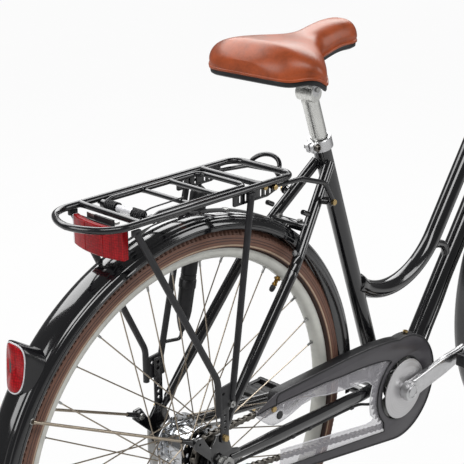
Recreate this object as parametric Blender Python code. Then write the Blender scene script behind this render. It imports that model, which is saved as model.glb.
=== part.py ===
"""A step-through city bicycle on its rear stand, as an assembly of separate pieces.

+X points forward, +Y to the rider's left and +Z up, with the ground at z = 0.
The sizes below are millimetres; `point` turns them into metres. Places along
the bicycle are counted from the rear axle, and `point` moves the origin to the
middle of the bicycle's length on the ground.
"""
import math

import bmesh
import bpy
from mathutils import Matrix, Vector

GAP = 0.3
RUNNING = 0.5

# Stance
WHEELBASE = 1128.0
STAND_LIFT = 20.0

# Wheels
TYRE_R = 350.0
TYRE_W = 42.0
TYRE_WALL = 4.0
RIM_R = 317.0
RIM_DEPTH = 17.0
RIM_INNER_R = RIM_R - RIM_DEPTH
RIM_CHAMFER = 3.0
RIM_W = 25.0
RIM_WALL = 3.0
RIM_SEAT_DROP = 6.0
RIM_SEAT_R = RIM_R - RIM_SEAT_DROP
WHEEL_STEPS = 36
SPOKES = 36
SPOKE_R = 1.3
REAR_OLD = 130.0
FRONT_OLD = 100.0
HUB_R = 30.0
HUB_FLANGE_R = 45.0
HUB_FLANGE_Y = 27.0
FRONT_HUB_R = 15.0
FRONT_FLANGE_R = 24.0
FRONT_FLANGE_Y = 33.0
FLANGE_T = 4.0
AXLE_R = 5.0
NUT_R = 9.0
NUT_T = 8.0

# Frame tubes
BB_X = 475.7
BB_DROP = 56.4
BB_SHELL_R = 21.0
BB_SHELL_W = 68.0
BB_BORE_R = 17.0
SEAT_ANGLE = 70.0
SEAT_TUBE_R = 14.6
SEAT_TUBE_LENGTH = 516.0
SEAT_BORE_DEPTH = 330.0
SWAN_R = 16.0
SWAN_BEND = 160.0
SWAN_START = 223.0
SWAN_START_FORWARD = 4.2
SWAN_START_ANGLE = -38.2
SWAN_MEET = 584.8
DOWN_R = 17.5
DOWN_REACH = 101.0
DOWN_MEET = 488.2
DOWN_START_ANGLE = 10.0
DOWN_BEND = 90.0
BRACE_R = 8.0
HEAD_ANGLE = 69.0
FORK_OFFSET = 58.0
HEAD_LOW = 420.0
HEAD_LENGTH = 222.0
HEAD_R = 18.0
HEAD_BORE_R = 14.0
CUP_R = 22.0
CUP_H = 12.0
STAY_R = 9.0
CHAIN_STAY_R = 12.0
DROPOUT_T = 5.0
BRIDGE_R = 8.0

# Seat
POST_R = 13.6
POST_RISE = 70.0
POST_INSERT = 150.0
COLLAR_H = 20.0
COLLAR_WALL = 4.5
SADDLE_LENGTH = 250.0
SADDLE_WIDTH = 215.0
SADDLE_NOSE_W = 62.0
BASE_T = 4.0

# Rear carrier
RACK_Z = 411.0
RACK_HALF_W = 62.0
RACK_REAR = -208.0
RACK_FRONT = 168.0
RACK_TUBE_R = 5.0
FLAP_PIVOT_X = -106.0
FLAP_PIVOT_DROP = 5.0
FLAP_FRONT = 78.0
RUNG_X = -37.0
FLAP_HALF_W = 49.0
FLAP_TUBE_R = 4.0
SPRING_R = 7.0
SPRING_WIRE_R = 1.1
SPRING_CURLS = 6
LEG_R = 5.0
LEG_TOP_Y = 65.5

# Mudguards
GUARD_R = 373.0
GUARD_HALF_W = 29.0
GUARD_LIP_R = 349.0
GUARD_WALL = 2.2

# Drive
CHAIN_Y = -45.0
CHAIN_PITCH = 12.7
RING_TEETH = 36
COG_TEETH = 18
CRANK_LENGTH = 170.0
CRANK_ANGLE = 7.0
CRANK_FACE_Y = -66.0
CRANK_T = 13.0
CHAIN_W = 9.0
COVER_R = 56.0
CASE_FACE_Y = -56.0
CASE_R = 100.0
CASE_TOP_Z = 57.0
CASE_T = 2.0
CASE_DEPTH = 19.0

# Cockpit
BAR_R = 11.0
BAR_HALF_W = 300.0
BAR_RISE = 70.0
BAR_SWEEP = 215.0
GRIP_R = 16.5
GRIP_LENGTH = 128.0
STEERER_R = 12.7

# Stand and pump
STAND_R = 7.0
STAND_HALF_W = 125.0
STAND_FORWARD = 26.0
PUMP_R = 13.5
PUMP_LENGTH = 232.0

AXLE_Z = TYRE_R + STAND_LIFT
ORIGIN_X = (WHEELBASE + TYRE_R - GUARD_R) / 2.0

BLACK = ("gloss_black", (0.012, 0.012, 0.013), 0.18, 0.0)
PLASTIC = ("black_plastic", (0.018, 0.018, 0.02), 0.42, 0.0)
GREY = ("case_grey", (0.07, 0.068, 0.072), 0.3, 0.0)
SILVER = ("satin_aluminium", (0.62, 0.61, 0.59), 0.32, 0.9)
STEEL = ("zinc_steel", (0.45, 0.44, 0.42), 0.35, 0.9)
CHROME = ("bright_steel", (0.6, 0.6, 0.6), 0.15, 1.0)
BRASS = ("brass", (0.5, 0.34, 0.12), 0.3, 1.0)
RIM_GREY = ("rim_aluminium", (0.6, 0.59, 0.56), 0.4, 0.6)
TYRE_BROWN = ("brown_rubber", (0.13, 0.065, 0.04), 0.7, 0.0)
LEATHER = ("brown_cover", (0.31, 0.09, 0.03), 0.35, 0.0)
RED = ("red_lens", (0.45, 0.0, 0.01), 0.12, 0.0)
CLEAR = ("clear_sheet", (0.8, 0.8, 0.8), 0.1, 0.0)
RUBBER = ("black_rubber", (0.02, 0.02, 0.02), 0.7, 0.0)


# Vectors and places

def point(x, y, z):
    """A point counted in millimetres from the rear axle."""
    return Vector((x - ORIGIN_X, y, z + AXLE_Z))


def polar(angle, length):
    """A step in the bicycle's middle plane, angle in degrees above forward."""
    a = math.radians(angle)
    return Vector((length * math.cos(a), 0.0, length * math.sin(a)))


REAR_AXLE = point(0.0, 0.0, 0.0)
FRONT_AXLE = point(WHEELBASE, 0.0, -STAND_LIFT)
BB = point(BB_X, 0.0, -BB_DROP)
SEAT_DIR = polar(180.0 - SEAT_ANGLE, 1.0)
STEER_DIR = polar(180.0 - HEAD_ANGLE, 1.0)
STEER_FRONT = polar(90.0 - HEAD_ANGLE, 1.0)
STEER_BASE = FRONT_AXLE - STEER_FRONT * FORK_OFFSET
LEFT = Vector((0.0, 1.0, 0.0))


def on_seat(t, forward=0.0, y=0.0):
    """A point t along the seat tube from the bottom bracket."""
    return BB + SEAT_DIR * t + Vector((forward, y, 0.0))


def on_steer(t, ahead=0.0, y=0.0):
    """A point t up the steering axis, ahead of it by so much."""
    return STEER_BASE + STEER_DIR * t + STEER_FRONT * ahead + LEFT * y


DOWN_CORNER = BB + polar(DOWN_START_ANGLE, DOWN_REACH)
TWIN_DIR = (on_steer(DOWN_MEET) - DOWN_CORNER).normalized()
TWIN_UP = Vector((-TWIN_DIR.z, 0.0, TWIN_DIR.x))


def on_down(along, up=0.0, y=0.0):
    """A point along the down tube from its lower bend, so far above its line."""
    return DOWN_CORNER + TWIN_DIR * along + TWIN_UP * up + LEFT * y


def meet(origin, direction, other, other_direction):
    """Where two lines of the middle plane cross."""
    det = direction.x * -other_direction.z + direction.z * other_direction.x
    dx = other.x - origin.x
    dz = other.z - origin.z
    t = (dx * -other_direction.z + dz * other_direction.x) / det
    return origin + direction * t


def mirrored(p, side):
    """The same place on the side given by -1 for right or 1 for left."""
    return Vector((p.x, p.y * side, p.z))


# Meshes

def material(look):
    name, colour, roughness, metallic = look
    found = bpy.data.materials.get(name)
    if found:
        return found
    made = bpy.data.materials.new(name)
    made.use_nodes = True
    shader = made.node_tree.nodes["Principled BSDF"]
    shader.inputs["Base Color"].default_value = (*colour, 1.0)
    shader.inputs["Roughness"].default_value = roughness
    shader.inputs["Metallic"].default_value = metallic
    made.diffuse_color = (*colour, 1.0)
    return made


def tidy(bm):
    bmesh.ops.remove_doubles(bm, verts=bm.verts, dist=0.002)
    bmesh.ops.dissolve_degenerate(bm, edges=bm.edges, dist=0.0005)
    bmesh.ops.recalc_face_normals(bm, faces=bm.faces)


def temporary(bm):
    mesh = bpy.data.meshes.new("work")
    bm.to_mesh(mesh)
    ob = bpy.data.objects.new("work", mesh)
    bpy.context.scene.collection.objects.link(ob)
    return ob


def joined(base, others, operation):
    """The Boolean of one mesh with others, all in millimetres."""
    made = [temporary(base)]
    for other in others:
        tool = temporary(other)
        made.append(tool)
        step = made[0].modifiers.new("cut", "BOOLEAN")
        step.solver = "EXACT"
        step.operation = operation
        step.object = tool
    graph = bpy.context.evaluated_depsgraph_get()
    result = bmesh.new()
    evaluated = made[0].evaluated_get(graph)
    result.from_mesh(evaluated.to_mesh())
    evaluated.to_mesh_clear()
    for ob in made:
        mesh = ob.data
        bpy.data.objects.remove(ob, do_unlink=True)
        bpy.data.meshes.remove(mesh)
    tidy(result)
    return result


def union(*meshes):
    return joined(meshes[0], meshes[1:], "UNION")


def cut(base, *tools):
    return joined(base, tools, "DIFFERENCE")


def node(name, bm, look, pivot=None, sharp=40.0):
    """One sub-part, whose origin is on its joint's axis where it moves."""
    origin = pivot if pivot else Vector((0.0, 0.0, 0.0))
    bmesh.ops.translate(bm, verts=bm.verts, vec=-origin)
    bmesh.ops.scale(bm, verts=bm.verts, vec=(0.001, 0.001, 0.001))
    bmesh.ops.recalc_face_normals(bm, faces=bm.faces)
    mesh = bpy.data.meshes.new(name)
    bm.to_mesh(mesh)
    mesh.materials.append(material(look))
    mesh.shade_smooth()
    mesh.set_sharp_from_angle(angle=math.radians(sharp))
    ob = bpy.data.objects.new(name, mesh)
    ob.location = origin * 0.001
    bpy.context.scene.collection.objects.link(ob)
    return ob


def ring_faces(bm, rings, closed_along, closed_round=True):
    count = len(rings)
    spans = count if closed_along else count - 1
    for i in range(spans):
        a = rings[i]
        b = rings[(i + 1) % count]
        n = len(a)
        for j in range(n if closed_round else n - 1):
            k = (j + 1) % n
            bm.faces.new((a[j], a[k], b[k], b[j]))


def sweep(path, radius, sides=10, closed=False, section=None, up=None):
    """A tube, or any section, carried along a path of points."""
    bm = bmesh.new()
    count = len(path)
    radii = radius if isinstance(radius, (list, tuple)) else [radius] * count
    tangents = []
    for i in range(count):
        before = path[i - 1] if (i or closed) else path[i]
        after = path[(i + 1) % count] if (i < count - 1 or closed) else path[i]
        tangents.append((after - before).normalized())
    side = up.copy() if up else tangents[0].orthogonal().normalized()
    rings = []
    for i in range(count):
        side = (side - tangents[i] * side.dot(tangents[i])).normalized()
        other = tangents[i].cross(side)
        outline = section
        if outline is None:
            outline = []
            for k in range(sides):
                turn = math.tau * (k + 0.5) / sides
                outline.append((math.cos(turn), math.sin(turn)))
        ring = []
        for u, v in outline:
            ring.append(bm.verts.new(path[i] + (side * u + other * v) * radii[i]))
        rings.append(ring)
    ring_faces(bm, rings, closed)
    if not closed:
        bm.faces.new(list(reversed(rings[0])))
        bm.faces.new(rings[-1])
    bmesh.ops.recalc_face_normals(bm, faces=bm.faces)
    return bm


def rounded(corners, radius, steps=5, closed=False):
    """A path through corner points whose bends have a radius."""
    radii = radius if isinstance(radius, (list, tuple)) else [radius] * len(corners)
    path = []
    count = len(corners)
    for i, corner in enumerate(corners):
        if not closed and i in (0, count - 1):
            path.append(corner.copy())
            continue
        back = (corners[i - 1] - corner).normalized()
        ahead = (corners[(i + 1) % count] - corner).normalized()
        half = back.angle(ahead) / 2.0
        reach = radii[i] / math.tan(half)
        centre = corner + (back + ahead).normalized() * radii[i] / math.sin(half)
        start = corner + back * reach - centre
        turn = math.pi - 2.0 * half
        axis = start.cross(-back).normalized()
        for k in range(steps + 1):
            path.append(centre + Matrix.Rotation(turn * k / steps, 3, axis) @ start)
    return path


def cylinder(a, b, radius, sides=12):
    return sweep([a, b], radius, sides)


def around(radius, sides):
    """The radius whose polygon of so many sides clears a round of this one."""
    return radius / math.cos(math.pi / sides)


def bore(a, b, radius, sides=12):
    """A cutter for a hole that a round of this radius passes."""
    return cylinder(a, b, around(radius, sides), sides)


def turned(profile, origin, axis, sides=16, closed=False):
    """A body turned about an axis from (along, radius) pairs."""
    bm = bmesh.new()
    axis = axis.normalized()
    side = axis.orthogonal().normalized()
    if abs(axis.y) > 0.9:
        side = Vector((1.0, 0.0, 0.0))
    other = axis.cross(side)
    rings = []
    for along, radius in profile:
        centre = origin + axis * along
        ring = []
        if radius < 1e-6:
            rings.append([bm.verts.new(centre)])
            continue
        for k in range(sides):
            turn = math.tau * k / sides
            out = side * math.cos(turn) + other * math.sin(turn)
            ring.append(bm.verts.new(centre + out * radius))
        rings.append(ring)
    count = len(rings)
    for i in range(count if closed else count - 1):
        a = rings[i]
        b = rings[(i + 1) % count]
        for k in range(sides):
            j = (k + 1) % sides
            if len(a) == 1:
                bm.faces.new((a[0], b[j], b[k]))
            elif len(b) == 1:
                bm.faces.new((a[k], a[j], b[0]))
            else:
                bm.faces.new((a[k], a[j], b[j], b[k]))
    if not closed:
        if len(rings[0]) > 1:
            bm.faces.new(list(reversed(rings[0])))
        if len(rings[-1]) > 1:
            bm.faces.new(rings[-1])
    bmesh.ops.recalc_face_normals(bm, faces=bm.faces)
    return bm


def plate(outline, y0, y1):
    """A flat plate parallel to the middle plane from (x, z) points."""
    bm = bmesh.new()
    near = [bm.verts.new(point(x, y0, z)) for x, z in outline]
    far = [bm.verts.new(point(x, y1, z)) for x, z in outline]
    bm.faces.new(near)
    bm.faces.new(list(reversed(far)))
    ring_faces(bm, [near, far], False)
    bmesh.ops.recalc_face_normals(bm, faces=bm.faces)
    return bm


def box(low, high):
    bm = bmesh.new()
    bmesh.ops.create_cube(bm, size=1.0)
    size = high - low
    bmesh.ops.scale(bm, verts=bm.verts, vec=size)
    bmesh.ops.translate(bm, verts=bm.verts, vec=(low + high) / 2.0)
    return bm


def arc(cx, cz, radius, start, stop, steps):
    """(x, z) points on a circle, angles in degrees."""
    out = []
    for i in range(steps + 1):
        a = math.radians(start + (stop - start) * i / steps)
        out.append((cx + radius * math.cos(a), cz + radius * math.sin(a)))
    return out


# Wheels

def tyre(name, hub, pivot):
    mid = TYRE_R - TYRE_W / 2.0
    bead_y = RIM_W / 2.0 - RIM_WALL - GAP
    inner = TYRE_W / 2.0 - TYRE_WALL
    seat = RIM_SEAT_R + GAP
    profile = [(-bead_y, seat), (-bead_y, RIM_R + 2.0)]
    for k in range(5):
        a = math.radians(200.0 - 55.0 * k)
        profile.append((math.cos(a) * TYRE_W / 2.0, mid + math.sin(a) * TYRE_W / 2.0))
    profile += [(bead_y, RIM_R + 2.0), (bead_y, seat), (bead_y - 3.0, seat),
                (bead_y - 3.0, RIM_R + 4.5)]
    for k in range(3):
        a = math.radians(8.0 + 82.0 * k)
        profile.append((math.cos(a) * inner, mid + math.sin(a) * inner))
    profile += [(3.0 - bead_y, RIM_R + 4.5), (3.0 - bead_y, seat)]
    return node(name, turned(profile, hub, LEFT, WHEEL_STEPS, True), TYRE_BROWN, pivot)


def rim(name, hub, pivot, valve_hole=False):
    half = RIM_W / 2.0
    profile = [
        (-half, RIM_R), (RIM_WALL - half, RIM_R), (RIM_WALL - half, RIM_SEAT_R - 4.0),
        (half - RIM_WALL, RIM_SEAT_R - 4.0), (half - RIM_WALL, RIM_R), (half, RIM_R),
        (half, RIM_INNER_R + RIM_CHAMFER), (half - 5.0, RIM_INNER_R), (5.0 - half, RIM_INNER_R),
        (-half, RIM_INNER_R + RIM_CHAMFER),
    ]
    body = turned(profile, hub, LEFT, WHEEL_STEPS, True)
    if valve_hole:
        way = valve_way()
        hole = bore(hub + way * (RIM_INNER_R - 10.0), hub + way * RIM_SEAT_R, VALVE_R + GAP, 8)
        body = cut(body, hole)
    return node(name, body, RIM_GREY, pivot)


def spokes(hub, flange_r, flange_y, face_step):
    """Crossed spokes: half leave each flange's outer face, half its inner one."""
    bm = bmesh.new()
    for i in range(SPOKES):
        side = 1.0 if i % 2 else -1.0
        pair = (i // 2) % 2
        lean = 1.0 if pair else -1.0
        at_rim = math.tau * (i + 0.5) / SPOKES
        at_hub = at_rim + lean * math.radians(62.0)
        start_y = side * (flange_y + (face_step if pair else -face_step))
        start_r = flange_r - 4.0
        start = hub + Vector((math.cos(at_hub) * start_r, start_y, math.sin(at_hub) * start_r))
        end_r = RIM_INNER_R * math.cos(math.pi / WHEEL_STEPS) - 2.0 * GAP
        end = hub + Vector((math.cos(at_rim) * end_r, side * 2.0, math.sin(at_rim) * end_r))
        one = cylinder(start, end, SPOKE_R, 3)
        mesh = bpy.data.meshes.new("spoke")
        one.to_mesh(mesh)
        bm.from_mesh(mesh)
        bpy.data.meshes.remove(mesh)
    return bm


def hub_shell(hub, barrel_r, flange_r, flange_y, end_y, bore_r):
    step = FLANGE_T / 2.0
    profile = [
        (-end_y, bore_r), (-end_y, barrel_r * 0.8), (-flange_y - step, barrel_r * 0.9),
        (-flange_y - step, flange_r), (-flange_y + step, flange_r), (-flange_y + step, barrel_r),
        (flange_y - step, barrel_r), (flange_y - step, flange_r), (flange_y + step, flange_r),
        (flange_y + step, barrel_r * 0.9), (end_y, barrel_r * 0.8), (end_y, bore_r),
    ]
    return turned(profile, hub, LEFT, 14, True)


def wheels():
    face_step = FLANGE_T / 2.0 + 0.6
    rear_end = HUB_FLANGE_Y + 9.0
    tyre("rear_tyre", REAR_AXLE, REAR_AXLE)
    rim("rear_rim", REAR_AXLE, REAR_AXLE, True)
    shell = hub_shell(REAR_AXLE, HUB_R, HUB_FLANGE_R, HUB_FLANGE_Y, rear_end, AXLE_R + RUNNING)
    laced = union(shell, spokes(REAR_AXLE, HUB_FLANGE_R, HUB_FLANGE_Y, face_step))
    node("rear_hub", laced, SILVER, REAR_AXLE)
    tyre("front_tyre", FRONT_AXLE, FRONT_AXLE)
    rim("front_rim", FRONT_AXLE, FRONT_AXLE)
    front_end = FRONT_OLD / 2.0 - 4.0
    shell = hub_shell(FRONT_AXLE, FRONT_HUB_R, FRONT_FLANGE_R, FRONT_FLANGE_Y, front_end,
                      AXLE_R + RUNNING)
    laced = union(shell, spokes(FRONT_AXLE, FRONT_FLANGE_R, FRONT_FLANGE_Y, face_step))
    node("front_hub", laced, SILVER, FRONT_AXLE)


VALVE_R = 3.6
VALVE_ANGLE = 47.5


def valve_way():
    return polar(VALVE_ANGLE, 1.0)


def valve():
    way = valve_way()
    profile = [
        (RIM_INNER_R + RIM_WALL + 4.0, 0.0), (RIM_INNER_R + RIM_WALL + 4.0, VALVE_R),
        (RIM_INNER_R - 12.0, VALVE_R), (RIM_INNER_R - 12.5, 4.6),
        (RIM_INNER_R - 22.0, 4.6), (RIM_INNER_R - 27.0, 3.4), (RIM_INNER_R - 27.0, 0.0),
    ]
    node("rear_valve", turned(profile, REAR_AXLE, way, 10), BRASS, REAR_AXLE)


# Frame

def seat_tube():
    top = on_seat(SEAT_TUBE_LENGTH)
    tube = cylinder(BB, top, SEAT_TUBE_R, 14)
    half = BB_SHELL_W / 2.0
    shell = cylinder(BB - LEFT * half, BB + LEFT * half, BB_SHELL_R, 20)
    lug = cylinder(on_seat(BB_SHELL_R - 4.0), on_seat(BB_SHELL_R + 14.0), SEAT_TUBE_R + 2.5, 14)
    body = union(shell, tube, lug)
    post_bore = cylinder(on_seat(SEAT_TUBE_LENGTH - SEAT_BORE_DEPTH),
                         on_seat(SEAT_TUBE_LENGTH + 5.0), POST_R + GAP, 14)
    shell_bore = bore(BB - LEFT * (half + 5.0), BB + LEFT * (half + 5.0), BB_BORE_R, 16)
    node("seat_tube", cut(body, post_bore, shell_bore), BLACK)
    half -= 1.0
    profile = [
        (-39.0, 9.2), (-39.0, BB_SHELL_R), (-36.2, BB_SHELL_R), (-36.2, BB_BORE_R - GAP),
        (half, BB_BORE_R - GAP), (half, 9.2),
    ]
    node("bottom_bracket_bearing", turned(profile, BB, LEFT, 16, True), STEEL)


def swan_path():
    """The curved tube: down from the seat tube, then beside the down tube to the head."""
    start = on_seat(SWAN_START, SWAN_START_FORWARD)
    way = polar(SWAN_START_ANGLE, 1.0)
    end = on_steer(SWAN_MEET)
    corner = meet(start, way, end, TWIN_DIR)
    bend = SWAN_BEND * math.tan(way.angle(TWIN_DIR) / 2.0)
    start = corner - way * max((corner - start).length, bend + 1.0)
    return rounded([start, corner, end], SWAN_BEND, 8)


def down_path():
    return rounded([BB, DOWN_CORNER, on_steer(DOWN_MEET)], DOWN_BEND, 5)


def main_tubes():
    seat_cutter = cylinder(on_seat(-30.0), on_seat(SEAT_TUBE_LENGTH), SEAT_TUBE_R + GAP, 14)
    half = BB_SHELL_W / 2.0 + 10.0
    bb_cutter = cylinder(BB - LEFT * half, BB + LEFT * half, BB_SHELL_R + GAP, 20)
    lug_cutter = cylinder(on_seat(BB_SHELL_R - 5.0), on_seat(BB_SHELL_R + 15.0),
                          SEAT_TUBE_R + 2.5 + GAP, 14)
    head_cutter = bore(on_steer(HEAD_LOW - 20.0), on_steer(HEAD_LOW + HEAD_LENGTH + 20.0),
                       HEAD_R + GAP, 16)
    swan = sweep(swan_path(), SWAN_R, 12, up=LEFT)
    node("top_tube", keep_largest(cut(swan, seat_cutter, head_cutter)), BLACK)
    brace_line = [on_down(202.5, 72.3), on_down(211.6, 32.0), on_down(188.3, -4.2)]
    brace = sweep(rounded(brace_line, 26.0, 3), BRACE_R, 8, up=LEFT)
    down = sweep(down_path(), DOWN_R, 12, up=LEFT)
    swan_cutter = sweep(swan_path(), SWAN_R + GAP, 12, up=LEFT)
    body = cut(union(down, brace), swan_cutter, bb_cutter, head_cutter)
    node("down_tube", keep_largest(body), BLACK)
    low = on_steer(HEAD_LOW)
    profile = [
        (0.0, HEAD_BORE_R), (0.0, CUP_R), (CUP_H, CUP_R), (CUP_H + 3.0, HEAD_R),
        (HEAD_LENGTH - CUP_H - 3.0, HEAD_R), (HEAD_LENGTH - CUP_H, CUP_R),
        (HEAD_LENGTH, CUP_R), (HEAD_LENGTH, HEAD_BORE_R),
    ]
    node("head_tube", turned(profile, low, STEER_DIR, 16, True), BLACK)
    return bb_cutter, seat_cutter, lug_cutter


def keep_largest(bm):
    """Drop the offcuts that a cut leaves, keeping the piece with most of the length."""
    seen = set()
    best = []
    for face in bm.faces:
        if face in seen:
            continue
        island = []
        stack = [face]
        seen.add(face)
        while stack:
            one = stack.pop()
            island.append(one)
            for edge in one.edges:
                for other in edge.link_faces:
                    if other not in seen:
                        seen.add(other)
                        stack.append(other)
        if sum(f.calc_area() for f in island) > sum(f.calc_area() for f in best):
            best = island
    keep = set(best)
    bmesh.ops.delete(bm, geom=[f for f in bm.faces if f not in keep], context="FACES")
    return bm


DROPOUT_Y = REAR_OLD / 2.0
TAB_X = -45.0
TAB_Z = 48.0
EYE_X = 3.0
EYE_Z = 42.0


def dropout(side):
    """The slotted plate that the rear axle, both stays and the guard's rod share."""
    outline = [
        (TAB_X - 9.0, TAB_Z - 6.0), (TAB_X - 7.0, TAB_Z + 8.0), (TAB_X + 6.0, TAB_Z + 9.0),
        (-22.0, 30.0), (EYE_X - 12.0, EYE_Z + 6.0), (EYE_X + 8.0, EYE_Z + 6.0), (22.0, 14.0),
        (40.0, 8.0), (40.0, -10.0), (20.0, -16.0), (-10.0, -17.0), (-19.0, -8.0), (-20.0, 8.0),
    ]
    y0 = DROPOUT_Y
    y1 = DROPOUT_Y + DROPOUT_T
    made = plate(outline, side * y0, side * y1)
    return made


def stay_section():
    outline = []
    for k in range(10):
        turn = math.tau * (k + 0.5) / 10
        outline.append((math.cos(turn) * 8.0, math.sin(turn) * CHAIN_STAY_R))
    return outline


def rear_frame(bb_cutter, seat_cutter, lug_cutter):
    axle_cutter = cylinder(REAR_AXLE - LEFT * 90.0, REAR_AXLE + LEFT * 90.0, AXLE_R + GAP, 12)
    pieces = []
    middle_y = DROPOUT_Y + DROPOUT_T / 2.0
    for side in (-1.0, 1.0):
        path = [point(18.0, side * middle_y, 0.0)]
        path += [point(60.0, side * (middle_y - 3.0), -5.0), point(140.0, side * 59.0, -14.0)]
        path += [point(250.0, side * 49.0, -27.0), point(330.0, side * 40.5, -37.0)]
        path += [point(372.0, side * 37.5, -42.5), point(405.0, side * 32.5, -47.0)]
        path += [point(462.0, side * 24.0, -54.0)]
        scale = [0.7, 0.85, 1.0, 1.0, 1.0, 1.0, 1.0, 1.0]
        tube = sweep(path, scale, 12, section=stay_section(), up=LEFT)
        pieces.append(tube)
        pieces.append(dropout(side))
    bridge = cylinder(point(398.0, -34.0, -46.0), point(398.0, 34.0, -46.0), BRIDGE_R, 10)
    body = union(pieces[0], pieces[1], pieces[2], pieces[3], bridge)
    body = cut(body, axle_cutter, bb_cutter, lug_cutter)
    node("chain_stays", body, BLACK)
    pieces = []
    for side in (-1.0, 1.0):
        low = point(13.0, side * (DROPOUT_Y - 2.5), EYE_Z + 15.0)
        knee = point(181.0, side * 52.0, 255.0)
        top = on_seat(SEAT_TUBE_LENGTH - 42.0, -4.6, side * 13.0)
        path = rounded([low, knee, top], 120.0, 3)
        radii = [STAY_R * 0.75] + [STAY_R] * (len(path) - 2) + [STAY_R * 0.8]
        pieces.append(sweep(path, radii, 10, up=LEFT))
        boss = cylinder(point(267.0, side * 28.0, 341.0), point(272.0, side * 44.0, 341.0), 6.0, 10)
        pieces.append(boss)
    bridge = cylinder(point(230.0, -38.0, 305.0), point(230.0, 38.0, 305.0), BRIDGE_R, 10)
    body = union(pieces[0], pieces[1], pieces[2], pieces[3], bridge)
    body = cut(body, seat_cutter)
    node("seat_stays", body, BLACK)


# Seat

COLLAR_OUT = SEAT_TUBE_R + COLLAR_WALL
TILT_T = SEAT_TUBE_LENGTH + POST_RISE + 16.0
TILT = on_seat(TILT_T)


def seat_parts():
    low = SEAT_TUBE_LENGTH - POST_INSERT
    post = cylinder(on_seat(low), TILT, POST_R, 14)
    head = cylinder(TILT - LEFT * 17.0, TILT + LEFT * 17.0, 14.0, 16)
    node("seat_post", union(post, head), SILVER, TILT)
    base = on_seat(SEAT_TUBE_LENGTH - COLLAR_H + 4.0)
    wide = around(SEAT_TUBE_R + GAP, 16)
    tight = around(POST_R + GAP, 16)
    whole = turned([(0.0, wide), (0.0, COLLAR_OUT), (COLLAR_H + 3.0, COLLAR_OUT),
                    (COLLAR_H + 3.0, tight), (COLLAR_H - 4.0 + GAP, tight),
                    (COLLAR_H - 4.0 + GAP, wide)], base, SEAT_DIR, 16, True)
    ear_at = base + SEAT_DIR * (COLLAR_H / 2.0)
    back = SEAT_DIR.cross(LEFT).normalized()
    back = back if back.x < 0 else -back
    ears = []
    for side in (-1.0, 1.0):
        a = ear_at + back * (COLLAR_OUT - 2.0) + LEFT * side * 6.0
        b = ear_at + back * (COLLAR_OUT + 12.0) + LEFT * side * 6.0
        ears.append(sweep([a, b], 1.0, section=[(-3.5, -8.0), (3.5, -8.0), (3.5, 8.0), (-3.5, 8.0)],
                          up=LEFT))
    bolt_at = ear_at + back * (COLLAR_OUT + 6.0)
    bolt = cylinder(bolt_at - LEFT * 15.0, bolt_at + LEFT * 15.0, 4.0, 10)
    node("seat_collar", union(whole, ears[0], ears[1], bolt), SILVER)


SADDLE_REAR_X = TILT.x + ORIGIN_X - 148.8
SADDLE_EDGE_Z = TILT.z - AXLE_Z + 50.7


def ease(t):
    t = min(max(t, 0.0), 1.0)
    return t * t * (3.0 - 2.0 * t)


def saddle_half_width(s):
    """Half the saddle's width at s, from 0 at its rear to 1 at its nose."""
    nose = SADDLE_NOSE_W / 2.0
    wing = SADDLE_WIDTH / 2.0
    body = nose + (wing - nose) * (1.0 - ease((s - 0.22) / 0.38))
    rear = (max(0.0, 1.0 - (1.0 - s / 0.24) ** 2)) ** 0.5 if s < 0.24 else 1.0
    front = (max(0.0, 1.0 - ((s - 0.84) / 0.16) ** 2)) ** 0.5 if s > 0.84 else 1.0
    return max(body * (0.30 + 0.70 * rear) * (0.22 + 0.78 * front), 1.0)


def saddle_edge_z(s):
    """The lower edge: high at the rear, lowest at the wings, high under the nose."""
    return SADDLE_EDGE_Z - 17.0 * math.exp(-((s - 0.30) / 0.16) ** 2) + 12.0 * ease((s - 0.5) / 0.4)


def saddle_top_z(s):
    rear_lift = SADDLE_EDGE_Z + 46.0 - 4.0 * math.exp(-((s - 0.55) / 0.2) ** 2)
    round_rear = 26.0 * (1.0 - min(s / 0.14, 1.0)) ** 2
    round_nose = 22.0 * max(0.0, (s - 0.88) / 0.12) ** 2
    return rear_lift - round_rear - round_nose


def saddle_cover():
    stations = 19
    around = 13
    bm = bmesh.new()
    rings = []
    for i in range(stations):
        s = 0.5 - 0.5 * math.cos(math.pi * i / (stations - 1))
        x = SADDLE_REAR_X + SADDLE_LENGTH * s
        half = saddle_half_width(s)
        low = saddle_edge_z(s)
        high = saddle_top_z(s)
        ring = []
        for k in range(around):
            a = math.pi * k / (around - 1)
            across = math.cos(a)
            y = half * (abs(across) ** 0.62) * (1.0 if across > 0 else -1.0)
            drop = (half / (SADDLE_WIDTH / 2.0)) ** 2 * 9.0 * across * across
            z = low + (high - low - drop) * (max(math.sin(a), 0.0) ** 0.62)
            ring.append(bm.verts.new(point(x, y, z)))
        for k in (1, 2):
            y = half * 0.9 * (2 * k - 3) * 0.55
            ring.append(bm.verts.new(point(x, y, low)))
        rings.append(ring)
    ring_faces(bm, rings, False)
    bm.faces.new(list(reversed(rings[0])))
    bm.faces.new(rings[-1])
    bmesh.ops.recalc_face_normals(bm, faces=bm.faces)
    node("saddle_cover", bm, LEATHER, TILT, 60.0)


def saddle_base():
    stations = 19
    bm = bmesh.new()
    rings = []
    for i in range(1, stations - 1):
        s = 0.5 - 0.5 * math.cos(math.pi * i / (stations - 1))
        x = SADDLE_REAR_X + SADDLE_LENGTH * s
        half = max(saddle_half_width(s) - 1.5, 0.8)
        top = saddle_edge_z(s) - GAP
        ring = []
        low = top - BASE_T
        for y, z in ((-half, top), (-half * 0.96, low), (half * 0.96, low), (half, top)):
            ring.append(bm.verts.new(point(x, y, z)))
        rings.append(ring)
    ring_faces(bm, rings, False)
    bm.faces.new(list(reversed(rings[0])))
    bm.faces.new(rings[-1])
    bmesh.ops.recalc_face_normals(bm, faces=bm.faces)
    node("saddle_base", bm, PLASTIC, TILT, 60.0)


RAIL_R = 3.6


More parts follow.
